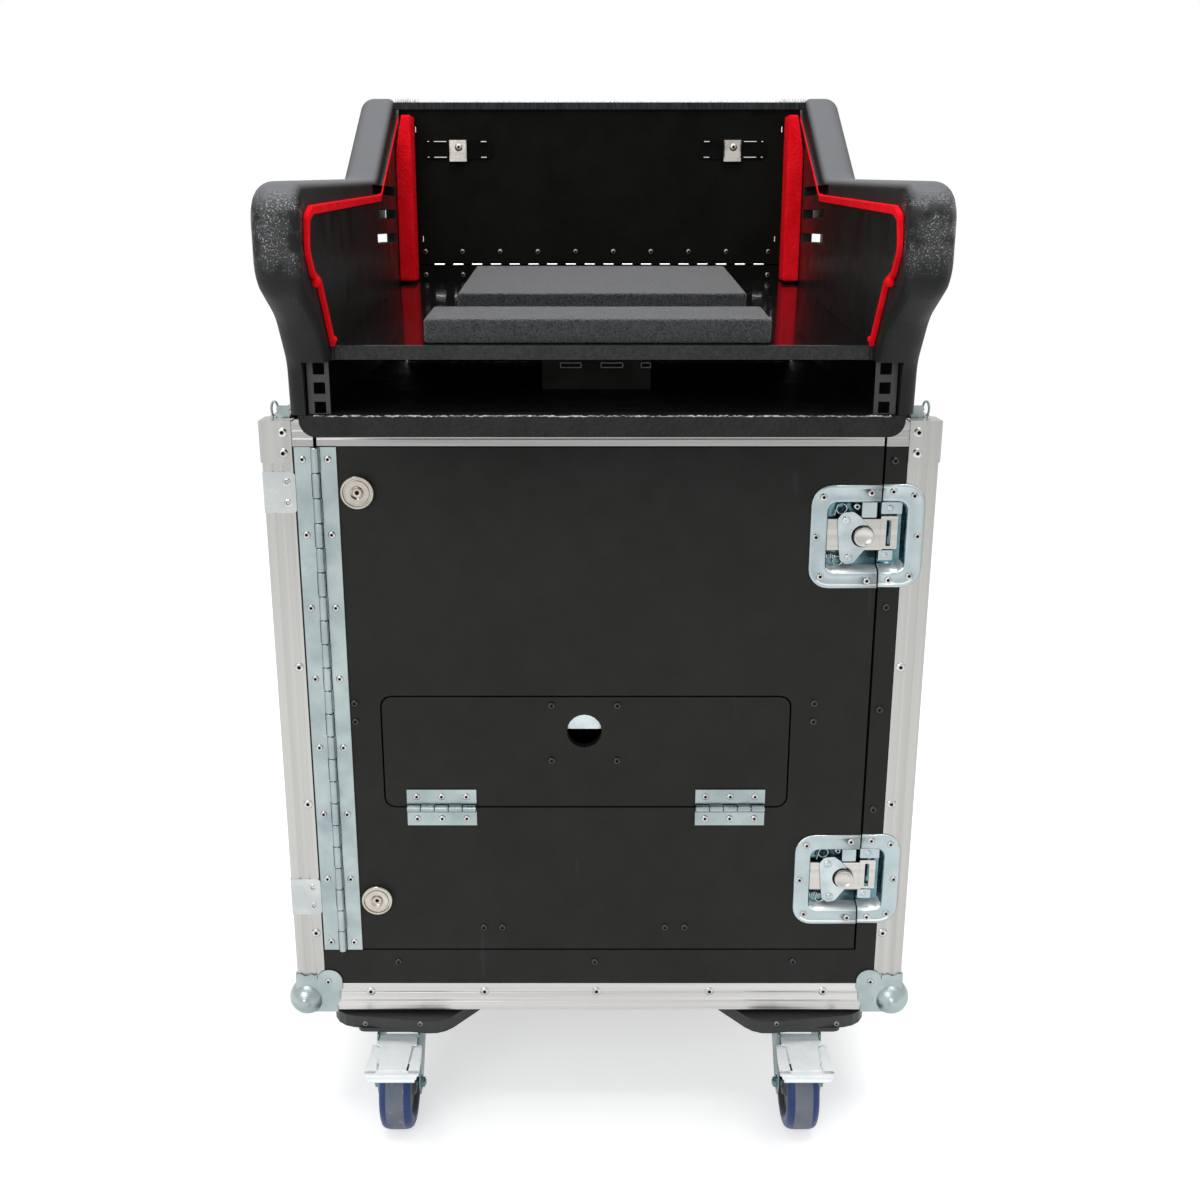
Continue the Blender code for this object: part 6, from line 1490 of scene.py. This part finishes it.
make_arms()
make_housing_floor()
make_pads()
make_rear_wall()
make_bay_fittings()
make_castor_looks()
board_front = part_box("castor_board")[0].y
fasteners("screws_board", TINY_RIVET, [(x, board_front, z) for x, z in BOARD_SCREWS], "cabinet",
          look=DULL_RIVET)
make_side_handles()


# Stage
def direct_ray(tree):
    """1 for rays from the camera, a reflection or a refraction, and 0 for light that is gathered."""
    rays = tree.nodes.new("ShaderNodeLightPath")
    seen = add(tree, "ShaderNodeMath", {0: rays.outputs["Is Camera Ray"], 1: rays.outputs["Is Glossy Ray"]},
               operation="MAXIMUM")
    seen = add(tree, "ShaderNodeMath", {0: seen.outputs[0], 1: rays.outputs["Is Transmission Ray"]},
               operation="MAXIMUM")
    return seen.outputs[0]


def make_floor():
    """A plain white floor that keeps the case's shadow but shows as white elsewhere."""
    bm = bmesh.new()
    bmesh.ops.create_grid(bm, x_segments=2, y_segments=2, size=6.0)
    mesh = to_mesh(bm, "floor")
    floor = linked("floor", mesh)
    material = bpy.data.materials.new("floor_white")
    tree = empty_tree(material)
    seen = direct_ray(tree)
    diffuse = add(tree, "ShaderNodeBsdfDiffuse", {"Color": (0.72, 0.72, 0.72, 1.0)})
    glow = add(tree, "ShaderNodeEmission", {"Strength": 0.55})
    both = add(tree, "ShaderNodeAddShader", {0: diffuse.outputs[0], 1: glow.outputs[0]})
    mixed = add(tree, "ShaderNodeMixShader", {0: seen, 1: diffuse.outputs[0], 2: both.outputs[0]})
    output = tree.nodes.new("ShaderNodeOutputMaterial")
    tree.links.new(mixed.outputs[0], output.inputs["Surface"])
    mesh.materials.append(material)


def make_world():
    """Soft light from the room, and plain white where the camera or a reflection looks past the case."""
    world = bpy.data.worlds.new("studio")
    bpy.context.scene.world = world
    tree = empty_tree(world)
    seen = direct_ray(tree)
    room = add(tree, "ShaderNodeBackground", {"Color": (0.95, 0.97, 1.0, 1.0), "Strength": 0.62})
    white = add(tree, "ShaderNodeBackground", {"Color": (1.0, 1.0, 1.0, 1.0), "Strength": 1.0})
    mixed = add(tree, "ShaderNodeMixShader", {0: seen, 1: room.outputs[0], 2: white.outputs[0]})
    output = tree.nodes.new("ShaderNodeOutputWorld")
    tree.links.new(mixed.outputs[0], output.inputs["Surface"])


def add_lamp(name, place, target, size, power, colour=(1.0, 1.0, 1.0)):
    lamp = bpy.data.lights.new(name, "AREA")
    lamp.shape = "RECTANGLE"
    lamp.size, lamp.size_y = size
    lamp.energy = power
    lamp.color = colour
    item = linked(name, lamp)
    item.location = place
    item.rotation_euler = (Vector(target) - Vector(place)).to_track_quat("-Z", "Y").to_euler()


CAMERA_X = -0.0095
CAMERA_AHEAD = 1.277
CAMERA_Z = 0.9837
CAMERA_DOWN = 16
CAMERA_SHIFT = 0.0078
CAMERA_LENS = 39.6


def make_camera():
    """The photograph's view: 16 degrees down from in front of the case."""
    camera = bpy.data.cameras.new("camera")
    camera.sensor_width = 36.0
    camera.lens = CAMERA_LENS
    camera.shift_x = CAMERA_SHIFT
    camera.clip_end = 50.0
    item = linked("camera", camera)
    item.location = (CAMERA_X, FRONT - CAMERA_AHEAD, CAMERA_Z)
    item.rotation_euler = (math.radians(90 - CAMERA_DOWN), 0.0, 0.0)
    bpy.context.scene.camera = item


make_floor()
make_world()
add_lamp("overhead", (0.0, -0.3, 3.2), (0.0, 0.0, 0.6), (2.6, 2.2), 75)
add_lamp("front_fill", (-1.4, -3.2, 2.2), (0.0, 0.0, 0.55), (2.0, 1.6), 38)
make_camera()
bpy.context.scene.view_settings.view_transform = "Standard"
